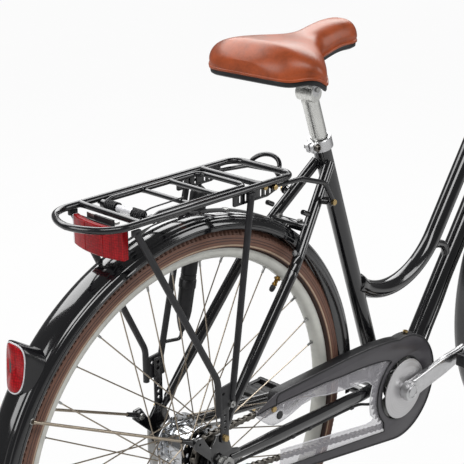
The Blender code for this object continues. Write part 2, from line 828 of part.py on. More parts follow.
def under_saddle(x):
    """The height at which a rail's middle meets the saddle's base."""
    s = (x + ORIGIN_X - SADDLE_REAR_X) / SADDLE_LENGTH
    return point(0.0, 0.0, saddle_edge_z(s)).z - BASE_T - 2.0 * GAP - RAIL_R


def saddle_clamp():
    """Both rails and the block that grips them over the post's head."""
    at = TILT
    block = box(at + Vector((-22.0, -27.0, 5.0)), at + Vector((22.0, 27.0, 23.0)))
    seat = cylinder(at - LEFT * 40.0, at + LEFT * 40.0, 14.0 + RUNNING, 16)
    rails = []
    rail_z = TILT.z + 16.0
    for side in (-1.0, 1.0):
        rear = Vector((TILT.x - 88.0, side * 30.0, 0.0))
        rear.z = under_saddle(rear.x) - 0.6
        bend = Vector((TILT.x - 56.0, side * 23.0, rail_z))
        straight = Vector((TILT.x + 44.0, side * 23.0, rail_z))
        front = Vector((TILT.x + 86.0, side * 12.0, 0.0))
        front.z = under_saddle(front.x) - 1.6
        rails.append(sweep(rounded([rear, bend, straight, front], 22.0, 2), RAIL_R, 6, up=LEFT))
    body = cut(union(block, rails[0], rails[1]), seat)
    node("saddle_clamp", body, STEEL, TILT)


# Mudguards

def guard_section():
    """The blade across: crown, shoulders, stepped skirts; (across, out from the axle)."""
    half = GUARD_HALF_W
    drop = GUARD_R - GUARD_LIP_R
    outer = [
        (-half, GUARD_LIP_R), (-half, GUARD_LIP_R + drop * 0.42), (-half * 0.64, GUARD_R - drop * 0.14),
        (0.0, GUARD_R), (half * 0.64, GUARD_R - drop * 0.14), (half, GUARD_LIP_R + drop * 0.42),
        (half, GUARD_LIP_R),
    ]
    inner = []
    for y, r in reversed(outer[1:-1]):
        inner.append((y * (half - GUARD_WALL) / half, r - GUARD_WALL))
    inner = [(half - GUARD_WALL, GUARD_LIP_R)] + inner + [(GUARD_WALL - half, GUARD_LIP_R)]
    return outer + inner


def guard_blade(hub, start, stop, steps):
    bm = bmesh.new()
    rings = []
    for i in range(steps + 1):
        a = start + (stop - start) * i / steps
        out = polar(a, 1.0)
        rings.append([bm.verts.new(hub + out * r + LEFT * y) for y, r in guard_section()])
    ring_faces(bm, rings, False)
    bm.faces.new(list(reversed(rings[0])))
    bm.faces.new(rings[-1])
    bmesh.ops.recalc_face_normals(bm, faces=bm.faces)
    return bm


REAR_GUARD_START = -5.0
REAR_GUARD_END = 205.0
STAY_TIP_X = -306.0
STAY_TIP_Z = 175.0


def rear_mudguard():
    blade = guard_blade(REAR_AXLE, REAR_GUARD_START, REAR_GUARD_END, 24)
    node("rear_mudguard", blade, BLACK)
    for side, name in ((-1.0, "rear_guard_rod_right"), (1.0, "rear_guard_rod_left")):
        y = side * (DROPOUT_Y - 3.0)
        low = point(TAB_X, y, TAB_Z)
        tip = point(STAY_TIP_X, side * (GUARD_HALF_W + 2.6), STAY_TIP_Z)
        rod = sweep([low, tip], 2.2, 6)
        eye = cylinder(point(TAB_X, side * (DROPOUT_Y - GAP), TAB_Z),
                       point(TAB_X, side * (DROPOUT_Y - 8.0), TAB_Z), 6.5, 12)
        clip = box(tip - Vector((9.0, 1.9, 8.0)), tip + Vector((9.0, 1.9, 8.0)))
        node(name, union(rod, eye, clip), STEEL)


LAMP_ANGLE = 143.5
LAMP_W = 46.0
LAMP_H = 66.0
LAMP_REACH = 36.0


def tail_lamp():
    """An oval lens in a drop-shaped housing on the guard's crown."""
    out = polar(LAMP_ANGLE, 1.0)
    along = polar(LAMP_ANGLE + 90.0, 1.0)
    foot = REAR_AXLE + out * (GUARD_R + 0.6)
    rings = []
    bm = bmesh.new()
    for depth, scale_y, scale_z, shift in ((0.0, 0.62, 0.80, -6.0), (12.0, 0.86, 0.95, -3.0),
                                           (24.0, 1.0, 1.0, 0.0), (28.0, 1.0, 1.0, 0.0)):
        ring = []
        for k in range(16):
            turn = math.tau * k / 16
            y = math.cos(turn) * LAMP_W / 2.0 * scale_y
            z = math.sin(turn) * LAMP_H / 2.0 * scale_z - shift
            ring.append(bm.verts.new(foot + out * depth + LEFT * y - along * z))
        rings.append(ring)
    ring_faces(bm, rings, False)
    bm.faces.new(list(reversed(rings[0])))
    bm.faces.new(rings[-1])
    bmesh.ops.recalc_face_normals(bm, faces=bm.faces)
    node("tail_lamp_housing", bm, PLASTIC)
    bm = bmesh.new()
    rings = []
    for depth, share in ((28.0 + GAP, 0.9), (31.0, 0.9), (LAMP_REACH - 1.0, 0.6)):
        ring = []
        for k in range(16):
            turn = math.tau * k / 16
            y = math.cos(turn) * LAMP_W / 2.0 * share
            z = math.sin(turn) * LAMP_H / 2.0 * share
            ring.append(bm.verts.new(foot + out * depth + LEFT * y - along * z))
        rings.append(ring)
    ring_faces(bm, rings, False)
    bm.faces.new(list(reversed(rings[0])))
    bm.faces.new(rings[-1])
    bmesh.ops.recalc_face_normals(bm, faces=bm.faces)
    node("tail_lamp_lens", bm, RED)


# Rear carrier

PLATE_Y = RACK_HALF_W - 5.5


def rack():
    w = RACK_HALF_W
    z = RACK_Z
    corners = [
        point(RACK_FRONT, -w, z), point(RACK_REAR + 24.0, -w, z), point(RACK_REAR - 4.0, -w * 0.3, z),
        point(RACK_REAR - 4.0, w * 0.3, z), point(RACK_REAR + 24.0, w, z), point(RACK_FRONT, w, z),
    ]
    loop_path = rounded(corners, [22.0, 26.0, 30.0, 30.0, 26.0, 22.0], 2, closed=True)
    loop = sweep(loop_path, RACK_TUBE_R, 8, closed=True, up=Vector((0.0, 0.0, 1.0)))
    parts = [loop]
    for x in (-138.0, 95.0):
        parts.append(cylinder(point(x, -w, z), point(x, w, z), RACK_TUBE_R - 0.4, 10))
    pivot_z = z - FLAP_PIVOT_DROP
    parts.append(cylinder(point(FLAP_PIVOT_X, -w, pivot_z), point(FLAP_PIVOT_X, w, pivot_z), 2.5, 8))
    hoop = []
    for k in range(7):
        a = math.pi * k / 6
        hoop.append(point(RACK_FRONT + 14.0 * math.sin(a), 31.0 * math.cos(a),
                          z + 25.0 * math.sin(a)))
    hoop = [point(RACK_FRONT, 31.0, z - 1.0)] + hoop + [point(RACK_FRONT, -31.0, z - 1.0)]
    parts.append(sweep(hoop, 3.6, 6, up=Vector((1.0, 0.0, 0.0))))
    for side in (-1.0, 1.0):
        outline = [(40.0, z - 22.0), (40.0, z), (132.0, z), (132.0, z - 16.0), (112.0, z - 22.0)]
        side_plate = plate(outline, side * PLATE_Y, side * (PLATE_Y + 2.5))
        slots = []
        for x in (52.0, 64.0, 76.0, 96.0, 106.0, 116.0):
            slots.append(plate([(x, z - 17.0), (x, z - 9.0), (x + 4.0, z - 9.0), (x + 4.0, z - 17.0)],
                               side * (PLATE_Y - 3.0), side * (PLATE_Y + 6.0)))
        parts.append(cut(side_plate, *slots))
        strut = rounded([point(124.0, side * (PLATE_Y + 2.0), z - 10.0),
                         point(190.0, side * (PLATE_Y - 2.0), z - 13.0),
                         point(252.0, side * 51.0, z - 36.0), point(275.0, side * 50.0, z - 76.0)],
                        18.0, 2)
        parts.append(sweep(strut, 4.0, 6, up=LEFT))
        tip = cylinder(point(272.0, side * 46.5, 341.0), point(273.5, side * 56.0, 341.0), 7.0, 8)
        parts.append(tip)
    node("rack_frame", union(*parts), BLACK)


def flap():
    """The sprung clip: a U of tube with rungs, hinged at its rear."""
    w = FLAP_HALF_W
    z = RACK_Z
    pivot = point(FLAP_PIVOT_X, 0.0, z - FLAP_PIVOT_DROP)
    path = rounded([point(FLAP_PIVOT_X, -w, z - FLAP_PIVOT_DROP),
                    point(FLAP_PIVOT_X + 14.0, -w, z), point(FLAP_FRONT, -w, z),
                    point(FLAP_FRONT, w, z), point(FLAP_PIVOT_X + 14.0, w, z),
                    point(FLAP_PIVOT_X, w, z - FLAP_PIVOT_DROP)],
                   [8.0, 8.0, 16.0, 16.0, 8.0, 8.0], 2)
    parts = [sweep(path, FLAP_TUBE_R, 8, up=Vector((0.0, 0.0, 1.0)))]
    for x in (RUNG_X, RUNG_X + 56.0):
        parts.append(cylinder(point(x, -w, z), point(x, w, z), FLAP_TUBE_R - 0.4, 10))
    for side in (-1.0, 1.0):
        parts.append(cylinder(point(FLAP_PIVOT_X, side * (w - 4.0), pivot_height()),
                              point(FLAP_PIVOT_X, side * (w + 4.0), pivot_height()), 6.0, 12))
    rod = cylinder(point(FLAP_PIVOT_X, -w - 20.0, pivot_height()),
                   point(FLAP_PIVOT_X, w + 20.0, pivot_height()), 2.5 + RUNNING, 12)
    node("rack_flap", cut(union(*parts), rod), BLACK, pivot)


def pivot_height():
    return RACK_Z - FLAP_PIVOT_DROP


def curl_gap(path, radius):
    """The least space between a wire's own curls, at points half a curl apart or more."""
    least = math.inf
    for i, a in enumerate(path):
        for b in path[i + 4:]:
            least = min(least, (b - a).length - 2.0 * radius)
    return least


def spring(name, start_y, stop_y):
    """A torsion spring about the flap's rod, with a long leg to the first rung."""
    pivot = point(FLAP_PIVOT_X, 0.0, pivot_height())
    path = []
    steps = SPRING_CURLS * 8
    last = 0.25
    for i in range(steps + 1):
        turn = math.tau * (i / 8.0 + last)
        y = start_y + (stop_y - start_y) * i / steps
        path.append(pivot + Vector((SPRING_R * math.cos(turn), y, SPRING_R * math.sin(turn))))
    print(name, "least gap between curls", round(curl_gap(path, SPRING_WIRE_R), 3), "mm")
    first = path[0]
    rest_z = RACK_Z + FLAP_TUBE_R - 0.4 + SPRING_WIRE_R + GAP
    lead = [point(RUNG_X + 4.0, first.y, rest_z), point(RUNG_X, first.y, rest_z),
            point(RUNG_X - 30.0, first.y, RACK_Z + 3.0)]
    path = lead + path
    node(name, sweep(path, SPRING_WIRE_R, 6, up=LEFT), PLASTIC, pivot)


def legs(side, name):
    s = side
    top_z = RACK_Z - RACK_TUBE_R - GAP - 4.6
    rear = rounded([point(-149.0, s * LEG_TOP_Y, top_z),
                    point(-15.0, s * 78.0, 143.0), point(-14.0, s * 79.0, 88.0)], 40.0, 2)
    front = [point(70.0, s * LEG_TOP_Y, top_z), point(13.0, s * 79.0, 104.0)]
    parts = [sweep(rear, LEG_R, 8, up=LEFT), sweep(front, LEG_R, 8, up=LEFT)]
    for x in (-149.0, 70.0):
        parts.append(box(point(x - 7.0, s * LEG_TOP_Y - 3.0, top_z - 3.0),
                         point(x + 7.0, s * LEG_TOP_Y + 3.0, RACK_Z - RACK_TUBE_R - GAP)))
    outline = [(-17.0, 92.0), (-17.0, 128.0), (20.0, 132.0), (22.0, 92.0)]
    parts.append(plate(outline, s * 75.3, s * 78.6))
    parts.append(cylinder(point(12.0, s * 76.0, 97.0), point(12.0, s * 86.0, 97.0), 6.0, 6))
    if side > 0:
        parts += pump_pegs()
    node(name, union(*parts), BLACK)


def strip(side, name):
    s = side
    outline = [(EYE_X - 7.0, 34.0), (EYE_X - 7.0, 126.0), (EYE_X + 9.0, 126.0), (EYE_X + 9.0, 34.0)]
    body = plate(outline, s * (DROPOUT_Y + DROPOUT_T + 0.8), s * (DROPOUT_Y + DROPOUT_T + 3.8))
    holes = []
    for z in (58.0, 68.0, 78.0):
        a = point(EYE_X, s * 60.0, z)
        holes.append(cylinder(a, point(EYE_X, s * 90.0, z), 2.8, 8))
    body = cut(body, *holes)
    head = cylinder(point(EYE_X, s * (DROPOUT_Y + DROPOUT_T + 3.0), EYE_Z),
                    point(EYE_X, s * (DROPOUT_Y + DROPOUT_T + 8.5), EYE_Z), 5.5, 6)
    node(name, union(body, head), BLACK)


# Pump

def leg_at(z):
    """A point on the left front leg at a height over the rear axle."""
    t = (z - 104.0) / (RACK_Z - 9.9 - 104.0)
    return Vector((13.0 + (70.0 - 13.0) * t, 79.0 + (LEG_TOP_Y - 79.0) * t, z))


PUMP_LOW_Z = 156.0


def pump_axis(z):
    return point(52.0 + (z - 160.0) * 45.0 / 228.0, 66.5, z)


def pump_pegs():
    """Two pegs on the carrier's left front leg that hold the pump by its ends."""
    made = []
    low = pump_axis(PUMP_LOW_Z)
    way = (pump_axis(PUMP_LOW_Z + 200.0) - low).normalized()
    for end, sense in ((low, -1.0), (low + way * PUMP_LENGTH, 1.0)):
        tip = end + way * sense * 0.6
        elbow = end + way * sense * 12.0
        anchor_z = elbow.z - AXLE_Z
        near = leg_at(anchor_z)
        root = point(near.x, near.y, anchor_z)
        made.append(sweep([root, elbow, tip], 3.0, 8, up=way.cross(root - elbow).normalized()))
    return made


def pump():
    low = pump_axis(PUMP_LOW_Z)
    way = (pump_axis(PUMP_LOW_Z + 200.0) - low).normalized()
    r = PUMP_R
    length = PUMP_LENGTH
    profile = [
        (0.0, 0.0), (0.0, 4.5), (14.0, 9.0), (34.0, r - 1.5), (70.0, r - 1.0), (72.0, r),
        (84.0, r), (86.0, r - 1.0), (length - 78.0, r - 1.0), (length - 76.0, r),
        (length - 12.0, r), (length - 4.0, r - 4.0), (length, 5.0), (length, 0.0),
    ]
    node("pump", turned(profile, low, way, 12), PLASTIC)


# Reflector

def reflector():
    z1 = RACK_Z - RACK_TUBE_R - 2.0
    z0 = z1 - 46.0
    bm = bmesh.new()
    rings = []
    x_face = -160.0
    for z in (z0, z1):
        ring = []
        for k in range(9):
            y = -54.0 + 108.0 * k / 8.0
            bow = 5.0 * (1.0 - (y / 54.0) ** 2)
            ring.append(bm.verts.new(point(x_face - bow, y, z)))
        ring.append(bm.verts.new(point(x_face + 9.0, 54.0, z)))
        ring.append(bm.verts.new(point(x_face + 9.0, -54.0, z)))
        rings.append(ring)
    ring_faces(bm, rings, False)
    bm.faces.new(list(reversed(rings[0])))
    bm.faces.new(rings[-1])
    bmesh.ops.recalc_face_normals(bm, faces=bm.faces)
    back = box(point(x_face + 8.0, -20.0, z0 + 8.0), point(x_face + 15.0, 20.0, z1 + 1.0))
    neck = box(point(x_face + 13.0, -16.0, z1 - 12.0),
               point(-132.0, 16.0, RACK_Z - RACK_TUBE_R + 0.4 - GAP))
    node("rack_reflector", union(bm, back, neck), RED)


RING_R = CHAIN_PITCH / (2.0 * math.sin(math.pi / RING_TEETH))
COG_R = CHAIN_PITCH / (2.0 * math.sin(math.pi / COG_TEETH))
BOSS_R = 16.0
SPINDLE_R = 8.5


def toothed(centre, teeth, pitch_r, hole_r, y):
    """A flat toothed ring, one point to a tooth, about a centre."""
    bm = bmesh.new()
    rings = []
    for across in (y - 1.2, y + 1.2):
        ring = []
        for i in range(teeth * 2):
            r = pitch_r + (2.0 if i % 2 else -3.5)
            ring.append(bm.verts.new(centre + polar(180.0 * i / teeth, r) + LEFT * across))
        rings.append(ring)
    bm.faces.new(rings[0])
    bm.faces.new(list(reversed(rings[1])))
    ring_faces(bm, rings, False)
    bmesh.ops.recalc_face_normals(bm, faces=bm.faces)
    hole = cylinder(centre + LEFT * (y - 9.0), centre + LEFT * (y + 9.0), hole_r, 16)
    return cut(bm, hole)


def crank_arm(side, angle):
    """The tapered arm from the spindle's boss to the pedal's eye."""
    inner = side * -CRANK_FACE_Y if side > 0 else CRANK_FACE_Y
    outer = inner + side * CRANK_T
    along = polar(angle, 1.0)
    across = polar(angle + 90.0, 1.0)
    outline = []
    for k in range(7):
        a = math.radians(90.0 + 180.0 * k / 6.0)
        outline.append((math.cos(a) * BOSS_R, math.sin(a) * BOSS_R))
    for k in range(7):
        a = math.radians(-90.0 + 180.0 * k / 6.0)
        outline.append((CRANK_LENGTH + math.cos(a) * 12.0, math.sin(a) * 12.0))
    bm = bmesh.new()
    rings = []
    for y in (inner, outer):
        rings.append([bm.verts.new(BB + along * u + across * v + LEFT * y) for u, v in outline])
    bm.faces.new(rings[0])
    bm.faces.new(list(reversed(rings[1])))
    ring_faces(bm, rings, False)
    bmesh.ops.recalc_face_normals(bm, faces=bm.faces)
    return bm


def pedal_axle(side, angle):
    return BB + polar(angle, CRANK_LENGTH) + LEFT * side * (-CRANK_FACE_Y + CRANK_T)


PEDAL_W = 88.0
PEDAL_L = 84.0
PEDAL_T = 24.0
PEDAL_PIN_R = 5.5


def pedal(name, side, angle):
    root = pedal_axle(side, angle)
    near = root + LEFT * side * 6.0
    far = near + LEFT * side * PEDAL_W
    low = Vector((root.x - PEDAL_L / 2.0, min(near.y, far.y), root.z - PEDAL_T / 2.0))
    high = Vector((root.x + PEDAL_L / 2.0, max(near.y, far.y), root.z + PEDAL_T / 2.0))
    body = box(low, high)
    tools = []
    for sense in (-1.0, 1.0):
        x0 = root.x + sense * 12.0
        x1 = root.x + sense * (PEDAL_L / 2.0 - 9.0)
        tools.append(box(Vector((min(x0, x1), low.y + 9.0, low.z - 5.0)),
                         Vector((max(x0, x1), high.y - 9.0, high.z + 5.0))))
    tools.append(cylinder(root, root + LEFT * side * (PEDAL_W + 10.0), PEDAL_PIN_R + RUNNING, 12))
    node(name, cut(body, *tools), PLASTIC, root)


def chain():
    """The chain as one loop: two rows of side plates joined outside the teeth."""
    far = (REAR_AXLE - BB).length
    line = math.degrees(math.atan2((REAR_AXLE - BB).z, (REAR_AXLE - BB).x))
    lean = math.degrees(math.acos((RING_R - COG_R) / far))
    path = []
    outs = []
    for i in range(15):
        a = line + lean + (360.0 - 2.0 * lean) * i / 14.0
        path.append(BB + polar(a, RING_R) + LEFT * CHAIN_Y)
        outs.append(polar(a, 1.0))
    for i in range(10):
        a = line - lean + 2.0 * lean * i / 9.0
        path.append(REAR_AXLE + polar(a, COG_R) + LEFT * CHAIN_Y)
        outs.append(polar(a, 1.0))
    half = CHAIN_W / 2.0
    wall = 1.4
    section = [(-half, -4.0), (-half, 4.6), (half, 4.6), (half, -4.0), (half - wall, -4.0),
               (half - wall, 3.2), (wall - half, 3.2), (wall - half, -4.0)]
    bm = bmesh.new()
    rings = []
    for centre, out in zip(path, outs):
        rings.append([bm.verts.new(centre + LEFT * y + out * r) for y, r in section])
    ring_faces(bm, rings, True)
    bmesh.ops.recalc_face_normals(bm, faces=bm.faces)
    node("chain", bm, STEEL)


def drive():
    toward = CRANK_ANGLE
    away = CRANK_ANGLE + 180.0
    arm = crank_arm(-1.0, toward)
    boss = cylinder(BB + LEFT * (CRANK_FACE_Y - CRANK_T - 0.5), BB + LEFT * -40.0, BOSS_R + 0.2, 16)
    pin_root = pedal_axle(-1.0, toward)
    pin = cylinder(pin_root + LEFT * 5.0, pin_root - LEFT * (PEDAL_W + 2.0), PEDAL_PIN_R, 12)
    socket = cylinder(BB + LEFT * -30.0, BB + LEFT * -76.0, SPINDLE_R + GAP, 12)
    node("crank_right", cut(union(arm, boss, pin), socket), SILVER, BB)
    node("chainring", toothed(BB, RING_TEETH, RING_R, BOSS_R + 0.2 + GAP, CHAIN_Y), STEEL, BB)
    hole_r = around(BOSS_R + 0.2 + GAP, 24)
    cover = turned([(-64.8, hole_r), (-64.8, COVER_R - 10.0), (-62.0, COVER_R),
                    (-60.0, COVER_R), (-60.0, hole_r)], BB, LEFT, 24, True)
    node("crank_cover", cover, SILVER, BB)
    arm = crank_arm(1.0, away)
    spindle = cylinder(BB + LEFT * 70.0, BB - LEFT * (76.0 - GAP), SPINDLE_R, 12)
    boss = cylinder(BB + LEFT * (-CRANK_FACE_Y + CRANK_T + 0.5), BB + LEFT * 40.0, BOSS_R + 0.2, 16)
    pin_root = pedal_axle(1.0, away)
    pin = cylinder(pin_root - LEFT * 5.0, pin_root + LEFT * (PEDAL_W + 2.0), PEDAL_PIN_R, 12)
    node("crank_left", union(arm, spindle, boss, pin), SILVER, BB)
    pedal("pedal_right", -1.0, toward)
    pedal("pedal_left", 1.0, away)
    chain()
    cog = toothed(REAR_AXLE, COG_TEETH, COG_R, 14.0, CHAIN_Y)
    driver = turned([(-50.0, AXLE_R + RUNNING), (-50.0, 24.0), (-48.6, 24.0), (-48.6, 17.0),
                     (-37.0, 17.0), (-37.0, AXLE_R + RUNNING)], REAR_AXLE, LEFT, 14, True)
    node("sprocket", union(driver, cog), STEEL, REAR_AXLE)


def rear_axle():
    inner = DROPOUT_Y - GAP
    profile = [
        (-89.0, 0.0), (-89.0, AXLE_R), (-inner, AXLE_R), (-inner, 11.0), (-60.0, 21.0),
        (-52.0, 21.0), (-52.0, AXLE_R), (38.0, AXLE_R), (38.0, 31.0), (47.0, 31.0),
        (47.0, 11.0), (inner, 11.0), (inner, AXLE_R), (89.0, AXLE_R), (89.0, 0.0),
    ]
    nut_y = DROPOUT_Y + DROPOUT_T + GAP
    parts = [turned(profile, REAR_AXLE, LEFT, 12)]
    for side in (-1.0, 1.0):
        parts.append(cylinder(REAR_AXLE + LEFT * side * nut_y,
                              REAR_AXLE + LEFT * side * (nut_y + NUT_T), NUT_R, 6))
    outline = [(-14.0, 8.0), (-14.0, -12.0), (0.0, -22.0), (150.0, -44.0), (158.0, -40.0),
               (158.0, -34.0), (14.0, 8.0)]
    parts.append(plate(outline, 45.0, 49.5))
    node("rear_axle", union(*parts), STEEL)


# Chain case

def inset(outline, distance):
    """The outline moved inward by a distance; points run anticlockwise."""
    out = []
    count = len(outline)
    for i, (x, z) in enumerate(outline):
        px, pz = outline[i - 1]
        nx, nz = outline[(i + 1) % count]
        a = Vector((x - px, z - pz)).normalized()
        b = Vector((nx - x, nz - z)).normalized()
        na = Vector((-a.y, a.x))
        nb = Vector((-b.y, b.x))
        mid = (na + nb).normalized()
        step = distance / max(mid.dot(na), 0.3)
        out.append((x + mid.x * step, z + mid.y * step))
    return out


CASE_REAR_X = 136.0
CASE_SLOPE = math.tan(math.radians(11.0))
WINDOW_ARC_R = 71.0
OPENING_ARC_R = 89.0


def case_arc(radius, start, stop, steps):
    return arc(BB_X, -BB_DROP, radius, start, stop, steps)


def lower_line(x, drop):
    """Height of a line under the chain's lower run."""
    return -BB_DROP - drop + (BB_X - x) * CASE_SLOPE


def case_outline():
    rear = CASE_REAR_X
    low_r = CASE_R / math.cos(math.radians(11.0))
    outline = [(rear + 14.0, lower_line(rear + 14.0, low_r))]
    outline += case_arc(CASE_R, -101.0, 97.0, 18)
    outline += [(419.0, 50.5), (380.0, 54.5), (325.0, CASE_TOP_Z), (rear, CASE_TOP_Z)]
    return outline


def window_edge(rear=CASE_REAR_X):
    """The border of the clear strip, from the lower arm's rear to the upper's."""
    path = [(rear + 14.0, lower_line(rear + 14.0, 87.0)), (427.0, -126.0)]
    path += list(reversed(case_arc(WINDOW_ARC_R, 118.0, 225.0, 8)))
    path += [(400.0, 19.0), (350.0, 25.0), (296.0, 29.0), (244.0, 34.0), (rear, 37.0)]
    return path


def opening_edge(rear=CASE_REAR_X):
    path = [(rear + 14.0, lower_line(rear + 14.0, 72.0)), (409.0, -116.0)]
    path += list(reversed(case_arc(OPENING_ARC_R, 158.0, 208.0, 5)))
    path += [(324.0, -3.0), (222.0, 14.0), (rear, 14.0)]
    return path


def chain_case():
    face = CASE_FACE_Y
    shell = plate(case_outline(), face, face + CASE_DEPTH)
    hollow = plate(inset(case_outline(), CASE_T), face + CASE_T, face + CASE_DEPTH + 10.0)
    far = [(60.0, 37.0), (60.0, window_edge()[0][1])]
    gone = plate(far + window_edge(), face - 5.0, face + CASE_DEPTH + 12.0)
    hub = cylinder(BB - LEFT * 80.0, BB - LEFT * 50.0, BOSS_R + 4.0, 24)
    body = cut(shell, hollow, gone, hub)
    low = -BB_DROP - CASE_R
    strap = box(point(BB_X - 12.0, -35.9, low + 1.0), point(BB_X + 12.0, -34.3, -BB_DROP - 17.0))
    foot = box(point(BB_X - 12.0, face + CASE_DEPTH - 3.0, low + 0.5),
               point(BB_X + 12.0, -34.3, low + 7.0))
    collar = cylinder(BB - LEFT * 35.9, BB - LEFT * 34.3, BOSS_R + 11.0, 24)
    hole = cylinder(BB - LEFT * 50.0, BB - LEFT * 20.0, BB_BORE_R + GAP, 24)
    held = cut(union(strap, foot, collar), hole)
    node("chain_guard", union(body, held), GREY)
    wide = inset_band(5.0)
    node("guard_window", plate(wide, face + CASE_T + GAP, face + CASE_T + GAP + 1.4), CLEAR)


def inset_band(lap):
    """The clear strip's outline, lapping behind the case by so much."""
    rear = CASE_REAR_X + CASE_T + 2.0
    border = window_edge(rear)
    lapped = []
    for i, (x, z) in enumerate(border):
        ax, az = border[max(i - 1, 0)]
        bx, bz = border[min(i + 1, len(border) - 1)]
        way = Vector((bx - ax, bz - az)).normalized()
        lapped.append((x + way.y * lap, z - way.x * lap))
    return lapped + list(reversed(opening_edge(rear)))


# Stand

def stand():
    eye_y = DROPOUT_Y + DROPOUT_T + NUT_T + 2.0
    w = STAND_HALF_W
    low_z = STAND_R - AXLE_Z
    path = [point(2.0, eye_y + 5.0, -16.0), point(5.0, eye_y + 9.0, -60.0),
            point(STAND_FORWARD, w, low_z), point(STAND_FORWARD, -w, low_z),
            point(5.0, -eye_y - 9.0, -60.0), point(2.0, -eye_y - 5.0, -16.0)]
    tube = sweep(rounded(path, 30.0, 3), STAND_R, 8, up=Vector((1.0, 0.0, 0.0)))
    parts = [tube]
    for side in (-1.0, 1.0):
        outline = [(-12.0, 6.0), (-12.0, -40.0), (14.0, -40.0), (12.0, 6.0), (5.0, 12.0), (-5.0, 12.0)]
        parts.append(plate(outline, side * eye_y, side * (eye_y + 4.0)))
    hole = cylinder(REAR_AXLE - LEFT * 100.0, REAR_AXLE + LEFT * 100.0, AXLE_R + RUNNING, 12)
    node("stand", cut(union(*parts), hole), STEEL, REAR_AXLE)


# Front end

BLADE_Y = 44.0
CROWN_T = 398.0
BAR_T = HEAD_LOW + HEAD_LENGTH + 95.0


def fork():
    steerer = cylinder(on_steer(CROWN_T), on_steer(HEAD_LOW + HEAD_LENGTH + 12.0), STEERER_R, 16)
    crown = cylinder(on_steer(CROWN_T, 0.0, -BLADE_Y), on_steer(CROWN_T, 0.0, BLADE_Y), 12.0, 12)
    race = cylinder(on_steer(CROWN_T), on_steer(HEAD_LOW - GAP), CUP_R - 1.0, 14)
    parts = [steerer, crown, race]
    for side in (-1.0, 1.0):
        y = FRONT_OLD / 2.0 + 2.5
        path = rounded([on_steer(CROWN_T, 0.0, side * BLADE_Y), on_steer(95.0, 0.0, side * 48.0),
                        on_steer(12.0, FORK_OFFSET - 2.0, side * y)], 110.0, 3)
        count = len(path)
        radii = [12.0] + [11.5 - 6.5 * i / (count - 2) for i in range(count - 1)]
        parts.append(sweep(path, radii, 8, up=LEFT))
        eye = cylinder(FRONT_AXLE + LEFT * side * (FRONT_OLD / 2.0),
                       FRONT_AXLE + LEFT * side * (FRONT_OLD / 2.0 + 5.0), 15.0, 12)
        parts.append(eye)
        post = cylinder(brake_pivot(side, -4.0), brake_pivot(side, 12.0), 3.8, 8)
        parts.append(post)
    low = on_steer(HEAD_LOW + HEAD_LENGTH + GAP)
    parts.append(turned([(0.0, 0.0), (0.0, CUP_R), (10.0, CUP_R - 2.0), (10.0, 0.0)],
                        low, STEER_DIR, 14))
    axle = cylinder(FRONT_AXLE - LEFT * 80.0, FRONT_AXLE + LEFT * 80.0, AXLE_R + GAP, 12)
    node("fork", cut(union(*parts), axle), BLACK, STEER_BASE)


def front_axle():
    rod = cylinder(FRONT_AXLE - LEFT * 66.0, FRONT_AXLE + LEFT * 66.0, AXLE_R, 12)
    parts = [rod]
    inner = FRONT_OLD / 2.0 + 5.0 + GAP
    for side in (-1.0, 1.0):
        parts.append(cylinder(FRONT_AXLE + LEFT * side * inner,
                              FRONT_AXLE + LEFT * side * (inner + NUT_T), NUT_R, 6))
    node("front_axle", union(*parts), STEEL, STEER_BASE)


FRONT_GUARD_START = 38.0
FRONT_GUARD_END = 212.0


def front_mudguard():
    blade = guard_blade(FRONT_AXLE, FRONT_GUARD_START, FRONT_GUARD_END, 20)
    parts = [blade]
    end = FRONT_AXLE + polar(198.0, GUARD_LIP_R + 4.0)
    for side in (-1.0, 1.0):
        start = FRONT_AXLE - STEER_FRONT * 14.5 + LEFT * side * (FRONT_OLD / 2.0 + 7.8)
        tip = end + LEFT * side * (GUARD_HALF_W - 0.5)
        parts.append(sweep([start, tip], 2.2, 8))
        parts.append(cylinder(start - LEFT * side * 2.3, start + LEFT * side * 1.7, 4.0, 8))
    node("front_mudguard", union(*parts), BLACK, STEER_BASE)


BRAKE_PIVOT_OUT = RIM_R - 35.0
BRAKE_PIVOT_Y = 45.5
BRAKE_ARM_LENGTH = 106.0
PAD_R = RIM_R - 12.0
PAD_H = 6.5
PAD_GAP = 2.9


def brake_pivot(side, ahead):
    """A point on a brake arm's pivot, so far ahead of the fork blade's face."""
    t = math.sqrt(BRAKE_PIVOT_OUT ** 2 - FORK_OFFSET ** 2)
    return on_steer(t, -10.0 - ahead, side * BRAKE_PIVOT_Y)


